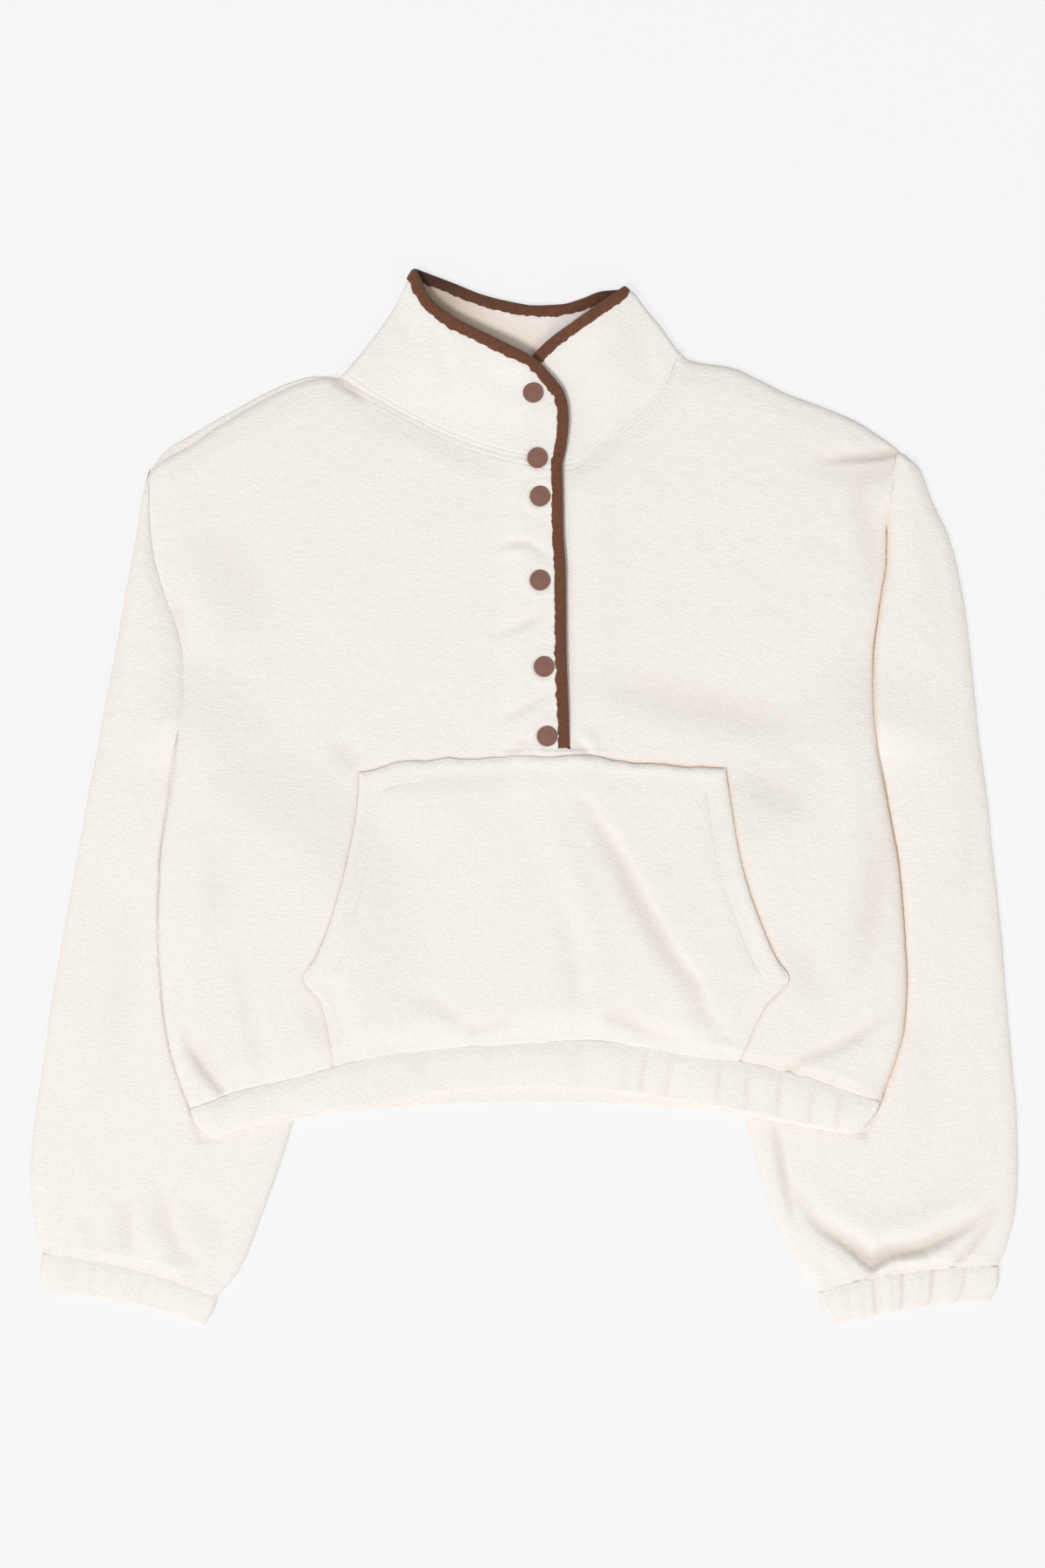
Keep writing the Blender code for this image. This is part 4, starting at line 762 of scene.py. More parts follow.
# ---------------- materials
class Surface:
    """A material of one shader and the nodes that feed it."""

    def __init__(self, name, roughness, specular=0.5, sheen=0.0):
        self.made = bpy.data.materials.new(name)
        self.made.use_nodes = True
        self.tree = self.made.node_tree
        self.shade({"Roughness": roughness, "Specular IOR Level": specular})
        self.shade({"Sheen Weight": sheen, "Sheen Roughness": 0.6, "Sheen Tint": SHEEN})
        self.place = self.node("TexCoord").outputs["Object"]

    def node(self, kind):
        return self.tree.nodes.new("ShaderNode" + kind)

    def feed(self, node, sockets):
        """Gives a node's sockets their constant values, or links them to other nodes."""
        for name, value in sockets.items():
            if isinstance(value, bpy.types.NodeSocket):
                self.tree.links.new(value, node.inputs[name])
            else:
                node.inputs[name].default_value = value
        return node.outputs

    def shade(self, sockets):
        self.feed(self.tree.nodes["Principled BSDF"], sockets)

    def stretched(self, scale):
        return self.feed(self.node("Mapping"), {"Vector": self.place, "Scale": scale})["Vector"]

    def noise(self, size, detail, rough=0.5, distortion=0.0, place=None):
        """Noise with lumps of a size in millimetres."""
        sockets = {"Vector": place or self.place, "Scale": 1 / (size * MM)}
        sockets.update({"Detail": detail, "Roughness": rough, "Distortion": distortion})
        return self.feed(self.node("TexNoise"), sockets)["Fac"]

    def cells(self, size, place):
        node = self.node("TexVoronoi")
        node.feature = "SMOOTH_F1"
        sockets = {"Vector": place, "Scale": 1 / (size * MM), "Smoothness": 0.7}
        return self.feed(node, sockets)["Distance"]

    def maths(self, operation, first, second):
        node = self.node("Math")
        node.operation = operation
        return self.feed(node, {0: first, 1: second})[0]

    def total(self, first, *others):
        """The first value plus the others, each times its factor."""
        for value, factor in others:
            first = self.maths("ADD", first, self.maths("MULTIPLY", value, factor))
        return first

    def ramp(self, value, low, high, from_low=0.0, from_high=1.0):
        sockets = {"Value": value, "To Min": low, "To Max": high}
        sockets.update({"From Min": from_low, "From Max": from_high})
        node = self.node("MapRange")
        node.interpolation_type = "SMOOTHSTEP"
        return self.feed(node, sockets)["Result"]

    def blend(self, share, first, second):
        """The colour between two, each a constant or another node's."""
        first, second = ((*c, 1.0) if isinstance(c, tuple) else c for c in (first, second))
        node = self.node("Mix")
        node.data_type = "RGBA"
        return self.feed(node, {"Factor": share, "A": first, "B": second})["Result"]

    def attribute(self, name):
        node = self.node("Attribute")
        node.attribute_name = name
        return node.outputs["Fac"]

    def bump(self, height, distance, strength):
        sockets = {"Height": height, "Distance": distance * MM, "Strength": strength}
        self.shade({"Normal": self.feed(self.node("Bump"), sockets)["Normal"]})


def fleece(name, tip, pit, painted_shade, deep, painted_warm_shade):
    made = Surface(name, 0.95, 0.2, 0.35)
    curled = made.stretched(PILE_LAY)
    curl = made.noise(1.9, 2.0, 0.5, 0.6, curled)
    nub = made.cells(2.0, curled)
    clump = made.noise(7.0, 2.0, 0.5, 0.3)
    patch = made.noise(55.0, 2.0)
    height = made.total(made.maths("MULTIPLY", curl, 1.1), (nub, -0.8), (clump, 0.25))
    groove = made.ramp(made.attribute("stitch"), -0.9, 0.0, 0.3, 1.3)
    made.bump(made.maths("ADD", height, groove), PILE_BUMP, 0.48)
    # Darker in the pile's pits: painted shade. Then random patches of the darker tone.
    colour = made.blend(made.ramp(height, 0.0, 1.0, 0.1, 0.75), pit, tip)
    colour = made.blend(made.ramp(patch, 0.0, 0.14, 0.35, 0.7), colour, pit)
    # Painted shade: one attribute turns the colour towards a darker warm shade, and past 1 towards a deep
    # brown shade.
    colour = made.blend(made.attribute("painted_shade"), colour, painted_shade)
    # Warm painted shade: the line attribute turns the colour towards a warm brown along lines where shade
    # falls.
    colour = made.blend(made.attribute("line"), colour, painted_warm_shade)
    deeper = made.maths("SUBTRACT", made.attribute("painted_shade"), 1.0)
    made.shade({"Base Color": made.blend(deeper, colour, deep)})
    return made.made


def woven(name, base, dark, shadow):
    made = Surface(name, 0.82, 0.25, 0.15)
    threads = made.noise(0.55, 3.0, 0.7)
    slub = made.noise(3.0, 2.0)
    height = made.total(threads, (slub, 0.5))
    made.bump(height, 0.35, 0.9)
    colour = made.blend(made.ramp(height, 0.0, 1.0, 0.45, 1.0), dark, base)
    made.shade({"Base Color": made.blend(made.attribute("shade"), colour, shadow)})
    return made.made


def painted(name, base, worn):
    made = Surface(name, 0.42, 0.5)
    grain = made.noise(1.2, 3.0, 0.6)
    made.bump(grain, 0.05, 0.4)
    share = made.ramp(made.noise(6.0, 2.0), 0.0, 0.5, 0.35, 0.75)
    made.shade({"Base Color": made.blend(share, base, worn), "Roughness": made.ramp(grain, 0.36, 0.5)})
    return made.made


cream = fleece("cream_sherpa", CREAM, CREAM_PIT, CREAM_PAINTED_SHADE, CREAM_DEEP_PAINTED_SHADE, CREAM_WARM_PAINTED_SHADE)
tape = woven("brown_tape", TAPE_BROWN, TAPE_DARK, TAPE_SHADOW)
paint = painted("mauve_brown_cap", CAP_BROWN, CAP_WORN)


# ---------------- body
def zones(lines, counts, end, rim=5):
    """Columns between guide lines, each (line, next line, share)."""
    columns = []
    for number, (count, low, high) in enumerate(zip(counts, lines, lines[1:])):
        ends = (end if number == 0 else 0.0, end if number == len(counts) - 1 else 0.0)
        columns += [(low, high, share) for share in shares(count, *ends, rim=rim)[:-1]]
    return columns + [(lines[-1], lines[-1], 0.0)]


def panel_plan(columns, rows, top, overlap=0.0):
    """Plan of a body panel in rows from the hem to the pocket's top, the slit's foot and the top."""
    xs, ys = [], []
    for first, second, share in columns:

        def at(y):
            return mix(first(y), second(y), share)

        bottom_y = hem_seam(at(hem_seam(0.0))) - overlap
        middle_y = pocket_top(at(pocket_top(0.0)))
        foot_y = middle_y + SLIT_FOOT - pocket_top(0.0)
        top_y = top(at(front_top(at(250.0))))
        for _ in range(4):
            top_y = top(at(top_y))
        top_y = top_y + (neck_lap(at(top_y)) if overlap else 0.0)
        levels = (bottom_y, middle_y, foot_y, top_y)
        lower, middle, upper = (mix(*pair, part) for pair, part in zip(zip(levels, levels[1:]), rows))
        y = np.concatenate([lower[:-1], middle[:-1], upper])
        xs.append(at(y))
        ys.append(y)
    return np.stack(xs, 1), np.stack(ys, 1)


def armhole_groove(y, side):
    """How deep the groove along the armhole is: 0 at the shoulder's point, 1 lower down."""
    if side > 0:
        return ease((GROOVE_LEFT[0] - y) / GROOVE_LEFT[1])
    shallower = mix(1.0, 0.14, ease((y - sleeve_right.underarm) / 40))
    return shallower * ease((GROOVE_RIGHT[0] - y) / GROOVE_RIGHT[1])


def pocket_rim(x):
    """The pocket's upper edge, as uneven as a turned edge of pile."""
    at = join(x, 0, 0)
    return pocket_top(x) + 0.6 * lumps(at, 8.0, 91) + 0.8 * lumps(at, 19.0, 92)


def outline_of(xs, ys):
    return np.stack([xs, ys], -1).tolist()


RIM_X = np.arange(-121.5, 147.5, 3)
POCKET_UP, POCKET_DOWN = np.arange(-205, 15, 8), np.arange(19, -206, -8)
POCKET_PATH = (
    outline_of(guide_right(POCKET_UP), POCKET_UP)
    + outline_of(RIM_X, pocket_rim(RIM_X))
    + outline_of(guide_left(POCKET_DOWN), POCKET_DOWN)
)


def neck_share(x):
    """1 along the neck, 0 along the shoulders."""
    return ease((x - NECK_RIGHT + 6) / 8) * ease((NECK_LEFT + 6 - x) / 8)


def neck_lap(x):
    """How far the front runs on under the collar."""
    steep = 2.2 * ease((x - 84) / 22) + 1.4 * ease((-104 - x) / 22)
    return neck_share(x) * UNDERLAP * (1 + steep)


def stitch_line(distance, there):
    """Distance from a line of stitches, FAR where there is none."""
    return np.where(there, np.minimum(np.abs(distance), FAR), FAR)


def front_surface(x, y, on_lap):
    """Height of the front's outer face, with each point's painted shade, stitch distance and warm painted
    shade as fleece_piece has them.
    """
    low = lift(x, y) + FRONT_LOW
    height = front_height(x, y, on_lap) + WALL / 2
    to_left = side_left(y) - x
    to_side = np.minimum(x - side_right(y), to_left)
    to_top = front_top(x) - y
    to_hem = y - hem_seam(x)
    neck = neck_share(x)
    groove = np.where(x > 0, armhole_groove(y, 1), armhole_groove(y, -1))
    round_side = mix(1.0, roll(to_side, np.where(x > 0, LEFT_ROUND, RIGHT_ROUND)), groove)
    round_top = mix(roll(to_top, TOP_ROUND), 1.0, neck)
    height = low + np.maximum(height - low, 0.1) * round_side * round_top
    gathered = ease((x - HEM_GATHERED) / 60)
    in_seam = bump(to_hem, SEAM_WIDTH)
    beside_seam = mix(0.6, 1.0, gathered) * (1 - ease(to_hem / 12)) - 0.1 * in_seam
    height += beside_seam - 0.2 * neck * bump(to_top, 1.8)
    swell = mix(0.35, 0.8, gathered) * bump(to_hem - 8.0, 5.0)
    height += swell * (1 + lumps(join(x, 0, 0), 26.0, 7))
    height -= TURN_DOWN * np.clip(-np.minimum(to_hem, mix(0, to_top, neck)) / UNDERLAP, 0, 1)
    for snap_x, snap_y, _ in SNAPS:
        radius = np.hypot(x - snap_x, y - snap_y)
        ring = CAP_RING[0] * bump(radius - CAP_RING_RADIUS, CAP_RING[1])
        height += ring - CAP_DENT[0] * bump(radius, CAP_DENT[1])
    # Painted shade in the creases, along the hem's and the neck's seams and beside the armhole's groove;
    # line is warm painted shade beside the groove and along the hem's seam.
    dark = crease_shade(crease_height(BODY_CREASES, x, y), *BODY_SHADE)
    dark = dark + crease_shade(crease_height(EDGE_CREASES, x, y, True), *EDGE_SHADE)
    dark = dark + 0.08 * gathered * in_seam + 0.03 * neck * bump(to_top, SEAM_WIDTH)
    dark = dark + 0.3 * groove * bump(to_left, 2.2)
    stitch = stitch_line(to_top - NECK_STITCH, neck > 0.5)
    line = 0.6 * groove * bump(to_left, 2.4) + 0.25 * in_seam * ease((x - HEM_GATHERED) / 40)
    return height, dark, stitch, line


def lap_start(y):
    return lap_edge(y) - LAP_WIDTH


def slit_edge(y):
    return lap_edge(y) + SLIT


def make_front():
    lines = (side_right, guide_right, lap_start, lap_edge, slit_edge, guide_left, side_left)
    counts = (74, 66, 18, 1, 70, 74)
    columns = zones(lines, counts, 8 / 120)
    edge = 5 + sum(counts[:3])
    rows = (shares(120), shares(3), shares(146, 0.0, 6 / 270))
    x, y = panel_plan(columns, rows, front_top, UNDERLAP)
    foot = len(rows[0]) + len(rows[1]) - 2
    on_lap = np.broadcast_to(np.arange(len(columns)) <= edge, x.shape)
    under = np.arange(len(columns)) - edge - 1
    tuck = np.where(under >= 0, np.clip(1 - under / 8, 0, 1), 0.0)
    x = x - 5.5 * tuck * ease((y - SLIT_FOOT) / 9)
    height, dark, stitch, line = front_surface(x, y, on_lap)
    near, _, place = to_path(x, y, POCKET_PATH)
    height -= 0.5 * bump(near, 2.4)
    # Painted shadow and warm painted shade along the pocket's edge, strongest along the +X part of its top
    # and down its +X side.
    shadow = mix(0.25, 1.0, ease((place - 0.52) / 0.12) * (1 - ease((place - 0.84) / 0.06)))
    dark = np.clip(dark + 0.42 * shadow * bump(near, 1.7), 0, 1)
    line = np.clip(line + 0.75 * shadow * bump(near, 2.2), 0, 1)
    holes = np.zeros((x.shape[0] - 1, x.shape[1] - 1), bool)
    holes[foot:, edge] = True
    grids = [(pile(join(x, y, height), 11), False, holes)]
    return fleece_piece("front", "cream_fleece", grids, dark, stitch, line)


# Along the pocket's outline, from its lower right corner round to its lower left one
PLACES = (0.0, 0.10, 0.14, 0.33, 0.37, 0.50, 0.56, 0.65, 0.69, 0.87, 0.92, 1.0)
THICKNESS = (0.7, 0.9, 1.9, 1.8, 1.4, 1.6, 2.4, 2.4, 2.0, 1.8, 1.2, 1.0)
ROUNDING = (6.0, 6.0, 5.5, 5.5, 4.6, 4.2, 3.4, 3.4, 3.2, 3.2, 3.4, 3.4)


def make_pocket():
    rim = 4.0
    s = shares(150, rim / 270, rim / 270, rim=6)[None, :]
    r = shares(112, 0.0, rim / 215, rim=6)[:, None]
    y = mix(-190.0, 28.0, r) + 0 * s
    for _ in range(6):
        x = mix(guide_right(y), guide_left(y), s)
        y = mix(hem_seam(x) - 2.2, pocket_rim(x), r)
    x = mix(guide_right(y), guide_left(y), s)
    height, dark, _, _ = front_surface(x, y, np.zeros(x.shape, bool))
    near, _, place = to_path(x, y, POCKET_PATH)
    thick = mix(np.interp(place, PLACES, THICKNESS), 2.8, ease((near - 9) / 18))
    thick = thick * mix(0.05, 1.0, ease((y - hem_seam(x)) / 24))
    wave = 1 + 0.35 * lumps(join(x, y, 0), 7.0, 23)
    rounded = thick * roll(near, np.interp(place, PLACES, ROUNDING))
    height += rounded + 0.3 * thick * wave * bump(near - 5.0, 3.4)
    on_side = np.maximum(
        ease((place - 0.12) / 0.02) * (1 - ease((place - 0.36) / 0.03)),
        ease((place - 0.66) / 0.03) * (1 - ease((place - 0.93) / 0.02)),
    )
    to_stitch = near - POCKET_STITCH
    height -= 0.45 * on_side * bump(to_stitch, 2.0)
    grids = [(pile(join(x, y, height), 21), False, None)]
    return fleece_piece("pocket", "pocket_fleece", grids, dark, stitch_line(to_stitch, on_side > 0.5))


def make_back():
    lines = (side_right, guide_right, lap_start, slit_edge, guide_left, side_left)
    rim = 1.8
    columns = zones(lines, (30, 24, 6, 26, 30), rim / 120, rim=3)
    rows = (shares(46, rim / 215, 0.0, rim=3), shares(1), shares(58, 0.0, rim / 270, rim=3))
    x, y = panel_plan(columns, rows, back_top)
    to_edge = np.minimum(np.minimum(x - side_right(y), side_left(y) - x), back_top(x) - y)
    to_edge = np.maximum(np.minimum(to_edge, y - hem_seam(x)), 0.2)
    to_edge[[0, -1]] = 0
    to_edge[:, [0, -1]] = 0
    rise = lift(x, y)
    rounded = roll(to_edge, 1.6)
    tufts = rounded * lumps(join(x, y, rise), 6.0, 31) * 0.25
    upper = join(x, y, rise + BACK_MID + 1.4 * rounded + tufts)
    lower = join(x, y, rise + BACK_MID - 1.5 * rounded)[:, ::-1]
    grids = [(upper, False, None), (lower, False, None)]
    # Painted shade: the back is a little darker all over.
    return weld(fleece_piece("back", "cream_fleece", grids, np.full((2, *x.shape), 0.1)))


def make_under_strip():
    y = np.linspace(SLIT_FOOT + 1.5, 243.0, 90)[:, None]
    s = np.linspace(0, 1, 10)[None, :]
    x = mix(lap_start(y) + 4, lap_edge(y) - 3.6, s)
    grids = [(pile(join(x, y, STRIP_TOP), 41, strength=0.3), False, None)]
    return fleece_piece("placket_under", "cream_fleece", grids, 0 * x)


# ---------------- bands and sleeves
def flat_ring(upper, lower):
    """Rings of a flattened tube from rows of its two layers, both from -X to +X."""
    turns = []
    for start, end, inner in (
        (upper[:, -1], lower[:, -1], upper[:, -2]),
        (lower[:, 0], upper[:, 0], lower[:, 1]),
    ):
        outward = start - inner
        outward[:, 2] = 0
        turns.append(round_end(start, end, unit(outward), 5))
    return np.concatenate([upper, turns[0], lower[:, ::-1], turns[1]], 1)


def make_band(node, layers, seed):
    """A ring whose rows run from its seam to its free edge, with its edge turned in."""
    ring = flat_ring(*layers)[:, ::-1]
    grid = thick_wall(ring, True, 0.7, seed, 0.8)
    row = np.arange(len(grid))[:, None] + np.zeros(grid.shape[:2])
    # Painted shade along the seam and in the gathers' valleys.
    dark = 0.12 * bump(row, 0.9)
    around = sum(np.roll(ring[..., 2], k, 1) for k in range(-6, 7)) / 13
    dark[1 : len(ring) + 1] += np.clip(0.34 * (around - ring[..., 2]), 0, 0.3)
    return weld(fleece_piece(node, "band_fleece", [(grid, True, None)], dark))


def waves(table, place, width):
    """Ridges and valleys across a place, of which the deep valleys are narrower."""
    total = 0
    for at, height in table:
        if height > DEEP_VALLEY:
            total = total + height * bump(place - at, width)
        else:
            total = total + 1.15 * height * bump(place - at, 0.62 * width)
    return total


def make_hem():
    layers = []
    t = np.linspace(0, 1, 17)[:, None]
    off_seam = ease(t * 3)
    first, last = hem_right(t) + TUBE_END, hem_left(t) - TUBE_END
    for count, edge, middle in ((310, hem_front, TUBE_TOP), (150, hem_back, BACK_MID)):
        s = np.linspace(0, 1, count)[None, :]
        seam_x = mix(HEM[0][0] + 1.0, HEM[-1][0] - 1.0, s)
        x = mix(first, last, s)
        corner = 5.0 * (1 - roll(np.minimum(x - first, last - x) + 0.4, 8.0))
        y = mix(hem_seam(seam_x) - SEAM, edge(x) + corner, t)
        ends = ease((x - first) / 12) * ease((last - x) / 12)
        if middle == TUBE_TOP:
            shape = waves(HEM_GATHERS, x + 4 * (t - 0.5), HEM_GATHER_WIDTH) * mix(0.35, 1.0, off_seam)
            shape = shape * mix(0.3, 0.62, ease((x - HEM_GATHERED) / 30))
            shape = shape + 0.28 * lumps(join(x, y, 0), 13.0, 52)
            full = HEM_LOFT * mix(0.3, 1.0, off_seam) + 0.8 * np.sin(np.pi * t) + shape
            loft = ends * np.maximum(full, -TIGHT)
        else:
            loft = ends * LOOSE_LOFT * (1 + lumps(join(x, 0.3 * y, 0), 14.0, 53))
        layers.append(join(x, y, lift(x, y) + middle + loft))
    return make_band("hem_band", layers, 51)


def make_cuff(node, table, outer_first, gathers, strength, seed):
    run = np.linspace(0, 1, 15)
    outer_x, outer_y, inner_x, inner_y, bow = (column(run) for column in curves(table))
    first, last = join(outer_x, outer_y), join(inner_x, inner_y)
    if not outer_first:
        first, last = last, first
    inset = TUBE_END / np.linalg.norm(last - first, axis=1)[:, None]
    t = run[:, None]
    layers = []
    for count, middle in ((92, TUBE_TOP), (44, BACK_MID)):
        s = mix(inset, 1 - inset, np.linspace(0, 1, count)[None, :])
        x = mix(first[:, :1], last[:, :1], s)
        y = mix(first[:, 1:], last[:, 1:], s) + bow[:, None] * 4 * s * (1 - s)
        fade = ease(s * 8) * ease((1 - s) * 8)
        reach = np.hypot(x[-1:] - x[:1], y[-1:] - y[:1])
        to_end = np.minimum(s, 1 - s) * np.hypot(x[:, -1:] - x[:, :1], y[:, -1:] - y[:, :1])
        corner = 4.0 * (1 - roll(to_end + 0.4, 6.0)) * t / reach
        x, y = x - corner * (x[-1:] - x[:1]), y - corner * (y[-1:] - y[:1])
        arch = np.sin(np.pi * t)
        if middle == TUBE_TOP:
            shape = strength * waves(gathers, s + 0.03 * (t - 0.5), GATHER_WIDTH) * (0.6 + 0.4 * arch)
            loft = fade * np.maximum(CUFF_LOFT + 0.7 * arch + shape, -TIGHT)
        else:
            loft = fade * LOOSE_LOFT * (1 + lumps(join(x, 0.3 * y, 0), 12.0, seed + 3))
        layers.append(join(x, y, middle + loft))
    return make_band(node, layers, seed)


def make_sleeve(node, sleeve, table, gathers, seed):
    """A flattened tube, open along the armhole and at the cuff."""

    def column(low, high):
        return np.concatenate([low, high])[:, None]

    t = np.linspace(1, 0, 170)
    y_open = np.linspace(sleeve.underarm, sleeve.top, 118)[1:]
    y_cap = np.linspace(sleeve.top, sleeve.cap[1], 12)[1:]
    share = (y_cap - sleeve.top) / (sleeve.cap[1] - sleeve.top)
    opened = sleeve.opened(y_open)
    caps = (
        mix(opened[0][-1], np.array(sleeve.cap), share[:, None]),
        join(sleeve.side(y_cap) - sleeve.sign * HEAD_IN, y_cap),
    )
    outer, inner = (np.concatenate(parts) for parts in zip(sleeve.closed(t), opened, caps))
    outer, inner = (
        np.concatenate([side[:1] + unit(side[0] - side[1]) * UNDERLAP, side]) for side in (outer, inner)
    )
    y_open = np.concatenate([y_open, y_cap])
    t = np.concatenate([[1.0], t])
    closing = column(ease(t * 4 - 3), 0 * y_open)
    to_cuff = column(np.append(-UNDERLAP, (1 - t[1:]) * SLEEVE_RUN), SLEEVE_RUN + 0 * y_open)
    is_open = column(0 * t, 1 + 0 * y_open)
    y_row = column(0 * t, y_open)
    above = armhole_groove(y_open, sleeve.sign) * ease((y_open - sleeve.underarm) / 30)
    groove = column(ease(t * SLEEVE_RUN / 25), above)
    risen = is_open * ease((y_row - sleeve.underarm) / 38)
    free = is_open * (1 - groove) * ease((y_row - sleeve.underarm) / 8)
    width = np.linalg.norm(inner - outer, axis=1)[:, None]
    faces = []
    for count, is_upper in ((84, True), (30, False)):
        s = shares(count, 0.055, 0.055)[None, :]
        x = mix(outer[:, :1], inner[:, :1], s)
        y = mix(outer[:, 1:], inner[:, 1:], s) + sleeve.bow * 4 * s * (1 - s) * closing
        rise = lift(x, y) * s * s * risen
        to_outer, to_seam = s * width, (1 - s) * width
        dark, line = 0, 0
        if is_upper:
            x = x - sleeve.sign * TUCK * free * ease(1 - to_seam / 6)
            beyond = beyond_body(x, y)
            fold = crease_height(table, x, y)
            gather = waves(gathers, s if sleeve.sign < 0 else 1 - s, GATHER_WIDTH) * bump(to_cuff, 26.0)
            puff = np.maximum(SLEEVE_LOFT + fold + gather, -SLEEVE_DIP) * roll(beyond, 10.0)
            puff = puff * np.sin(np.pi * s) ** 0.6 * mix(0.25, 1.0, ease(to_cuff / 12))
            rounded = roll(to_outer, SLEEVE_ROUND) * mix(1.0, roll(to_seam, SLEEVE_SEAM_ROUND), groove)
            z = SLEEVE_EDGE + rise + (SLEEVE_BODY + puff) * rounded - 0.6 * bump(to_cuff, 1.8)
            z += 1.1 * (1 - ease(to_cuff / 10)) - 0.9 * free * ease(1 - to_seam / 2.5)
            z -= TURN_DOWN * np.clip(-to_cuff / UNDERLAP, 0, 1)
            # Painted shade in the folds and along the cuff's seam; on the left sleeve, also painted shade
            # and warm painted shade beside the body's edge.
            dark = np.clip(-fold / 9 - 0.05, 0, 0.64) + 0.16 * bump(to_cuff, 1.4)
            if sleeve.sign > 0:
                line = 0.6 * groove * bump(beyond, 2.4) * ease((y - HEM_SIDE) / 16)
                dark = dark + 0.2 * groove * bump(beyond, 2.2)
        else:
            rounded = roll(to_outer, SLEEVE_UNDER_ROUND), roll(to_seam, SLEEVE_UNDER_ROUND)
            z = SLEEVE_UNDER + rise - SLEEVE_UNDER * rounded[0] * rounded[1]
        faces.append(join(x, y, z, dark, line))
    upper, lower = faces
    if sleeve.sign < 0:
        ring = np.concatenate([upper, lower[:, ::-1]], 1)
        gap = upper.shape[1] - 1
    else:
        ring = np.concatenate([upper[:, ::-1], lower], 1)
        gap = ring.shape[1] - 1
    dark, line = np.clip(ring[..., 3], 0, 1), ring[..., 4]
    ring = pile(ring[..., :3], seed, True)
    ring[..., 2] = np.maximum(ring[..., 2], 0.0)
    holes = np.zeros((ring.shape[0] - 1, ring.shape[1]), bool)
    holes[len(t) - 1 :, gap] = True
    return fleece_piece(node, "cream_fleece", [(ring, True, holes)], dark, line=line)


# ---------------- collar, binding, snaps
def collar_seams():
    """The collar's lower edge: left side, back, right side, as rows of points."""

    def turn_left(x):
        return ease((x - TURN_LEFT) / (NECK_LEFT - TURN_LEFT))

    def turn_right(x):
        return ease((TURN_RIGHT - x) / (TURN_RIGHT - NECK_RIGHT))

    share = np.linspace(0, 1, 76)
    x = np.interp(share, (0, 2 / 7, 1), (COLLAR_UNDERLAP, LAP_LEFT, NECK_LEFT))
    turned = turn_left(x)
    y = front_top(np.maximum(x, LAP_LEFT)) + SEAM * turned
    left = join(x - SEAM_INSET * turned, y, mix(FRONT_MID, TUBE_TOP, turned))

    share = np.linspace(0, 1, RIGHT_COLUMNS)
    x = np.interp(share, (0, 5 / 6, 1), (NECK_RIGHT, LAP_RIGHT, 25.8))
    turned = turn_right(x)
    y = front_top(x) + 1.3 * turned
    z = front_height(x, y - 0.01, np.ones(x.shape, bool))
    right = join(x + SEAM_INSET * turned, y, mix(z, TUBE_TOP, turned))

    share = np.linspace(0, 1, 140)
    x = np.interp(share, (0, 5 / 11, 6 / 11, 1), (NECK_LEFT, LAP_LEFT, LAP_RIGHT, NECK_RIGHT))
    turned = turn_left(x) - turn_right(x)
    y = back_top(x) + SEAM * np.abs(turned)
    back = join(x - SEAM_INSET * turned, y, BACK_MID)
    return left, back, right


def along_table(table, count, *height):
    share = np.linspace(0, 1, count)
    return join(*(column(share) for column in curves(table)), *height)


def collar_middle():
    """Middle of the collar's wall: its left side from under the overlap, its back, its right side."""
    left_low, back_low, right_low = collar_seams()
    left_top = along_table(COLLAR_TOP_LEFT, len(left_low))
    right_top = along_table(COLLAR_TOP_RIGHT, len(right_low))
    back_high = along_table(COLLAR_TOP_BACK, len(back_low), TAPE_BACK_MID)
    v = np.linspace(0, 1, 46)[:, None]
    lap_x, lap_y = (column(v) for column in curves(COLLAR_LAP))
    hold = ease((v - 0.6) / 0.3)
    lap_hold = ease((v - 0.18) / 0.36)
    swell = COLLAR_PUFF * np.sin(np.pi * v) * (1 - hold)
    bow = COLLAR_BOW * 4 * v * (1 - v)
    bulge = COLLAR_BULGE * ease((1 - v) / 0.12) * ease(v / 0.5) - 0.25 * bow
    stand = COLLAR_STAND * ease((v - 0.05) / 0.85)

    share = np.linspace(0, 1, len(left_low))[None, :]
    left = mix(left_low[None], left_top[None], v[..., None])
    left[..., 0] += bulge * share**3
    left[..., 2] = mix(left_low[:, 2], left_top[:, 2], hold) + swell * ease(share * 3 - 1)
    left[..., 2] += 0.8 * stand * np.sin(np.pi * np.clip((share - 2 / 7) * 7 / 5, 0, 1))

    share = np.linspace(0, 1, len(right_low))[None, :]
    right = mix(right_low[None], right_top[None], v[..., None])
    corner = right[:, -1:].copy()
    right[..., 0] += (lap_x - corner[..., 0]) * share**3 + bow * (1 - share) ** 3
    right[..., 1] += (lap_y - corner[..., 1]) * share**3
    over = ease(share * 6 - 4)
    right[..., 2] = mix(right_low[:, 2], right_top[:, 2], mix(hold, lap_hold, over))
    right[..., 2] += swell * (1 - over) * ease(share * 4)
    right[..., 2] += stand * np.sin(np.pi * np.clip(share * 6 / 5, 0, 1))

    share = np.linspace(0, 1, len(back_low))[None, :]
    back = mix(back_low[None], back_high[None], v[..., None])
    back[..., 0] += bow * share**3 + bulge * (1 - share) ** 3
    back[..., 2] = mix(back_low[:, 2], back_high[:, 2], ease((v - 0.6) / 0.28))

    for side in (left, right):
        loft = ease((side[..., 1] - side[:1, :, 1]) / 16) * ease((side[-1:, :, 1] - side[..., 1]) / 16)
        side[..., 2] += loft * crease_height(COLLAR_CREASES, side[..., 0], side[..., 1])
    turns = []
    for start, end, run in (
        (left[:, -1], back[:, 0], left_low[-1] - left_top[-1]),
        (back[:, -1], right[:, 0], right_top[0] - right_low[0]),
    ):
        turns.append(round_end(start, end, unit(np.array([-run[1], run[0], 0.0])), 9))
    return np.concatenate([left, turns[0], back, turns[1], right], 1)


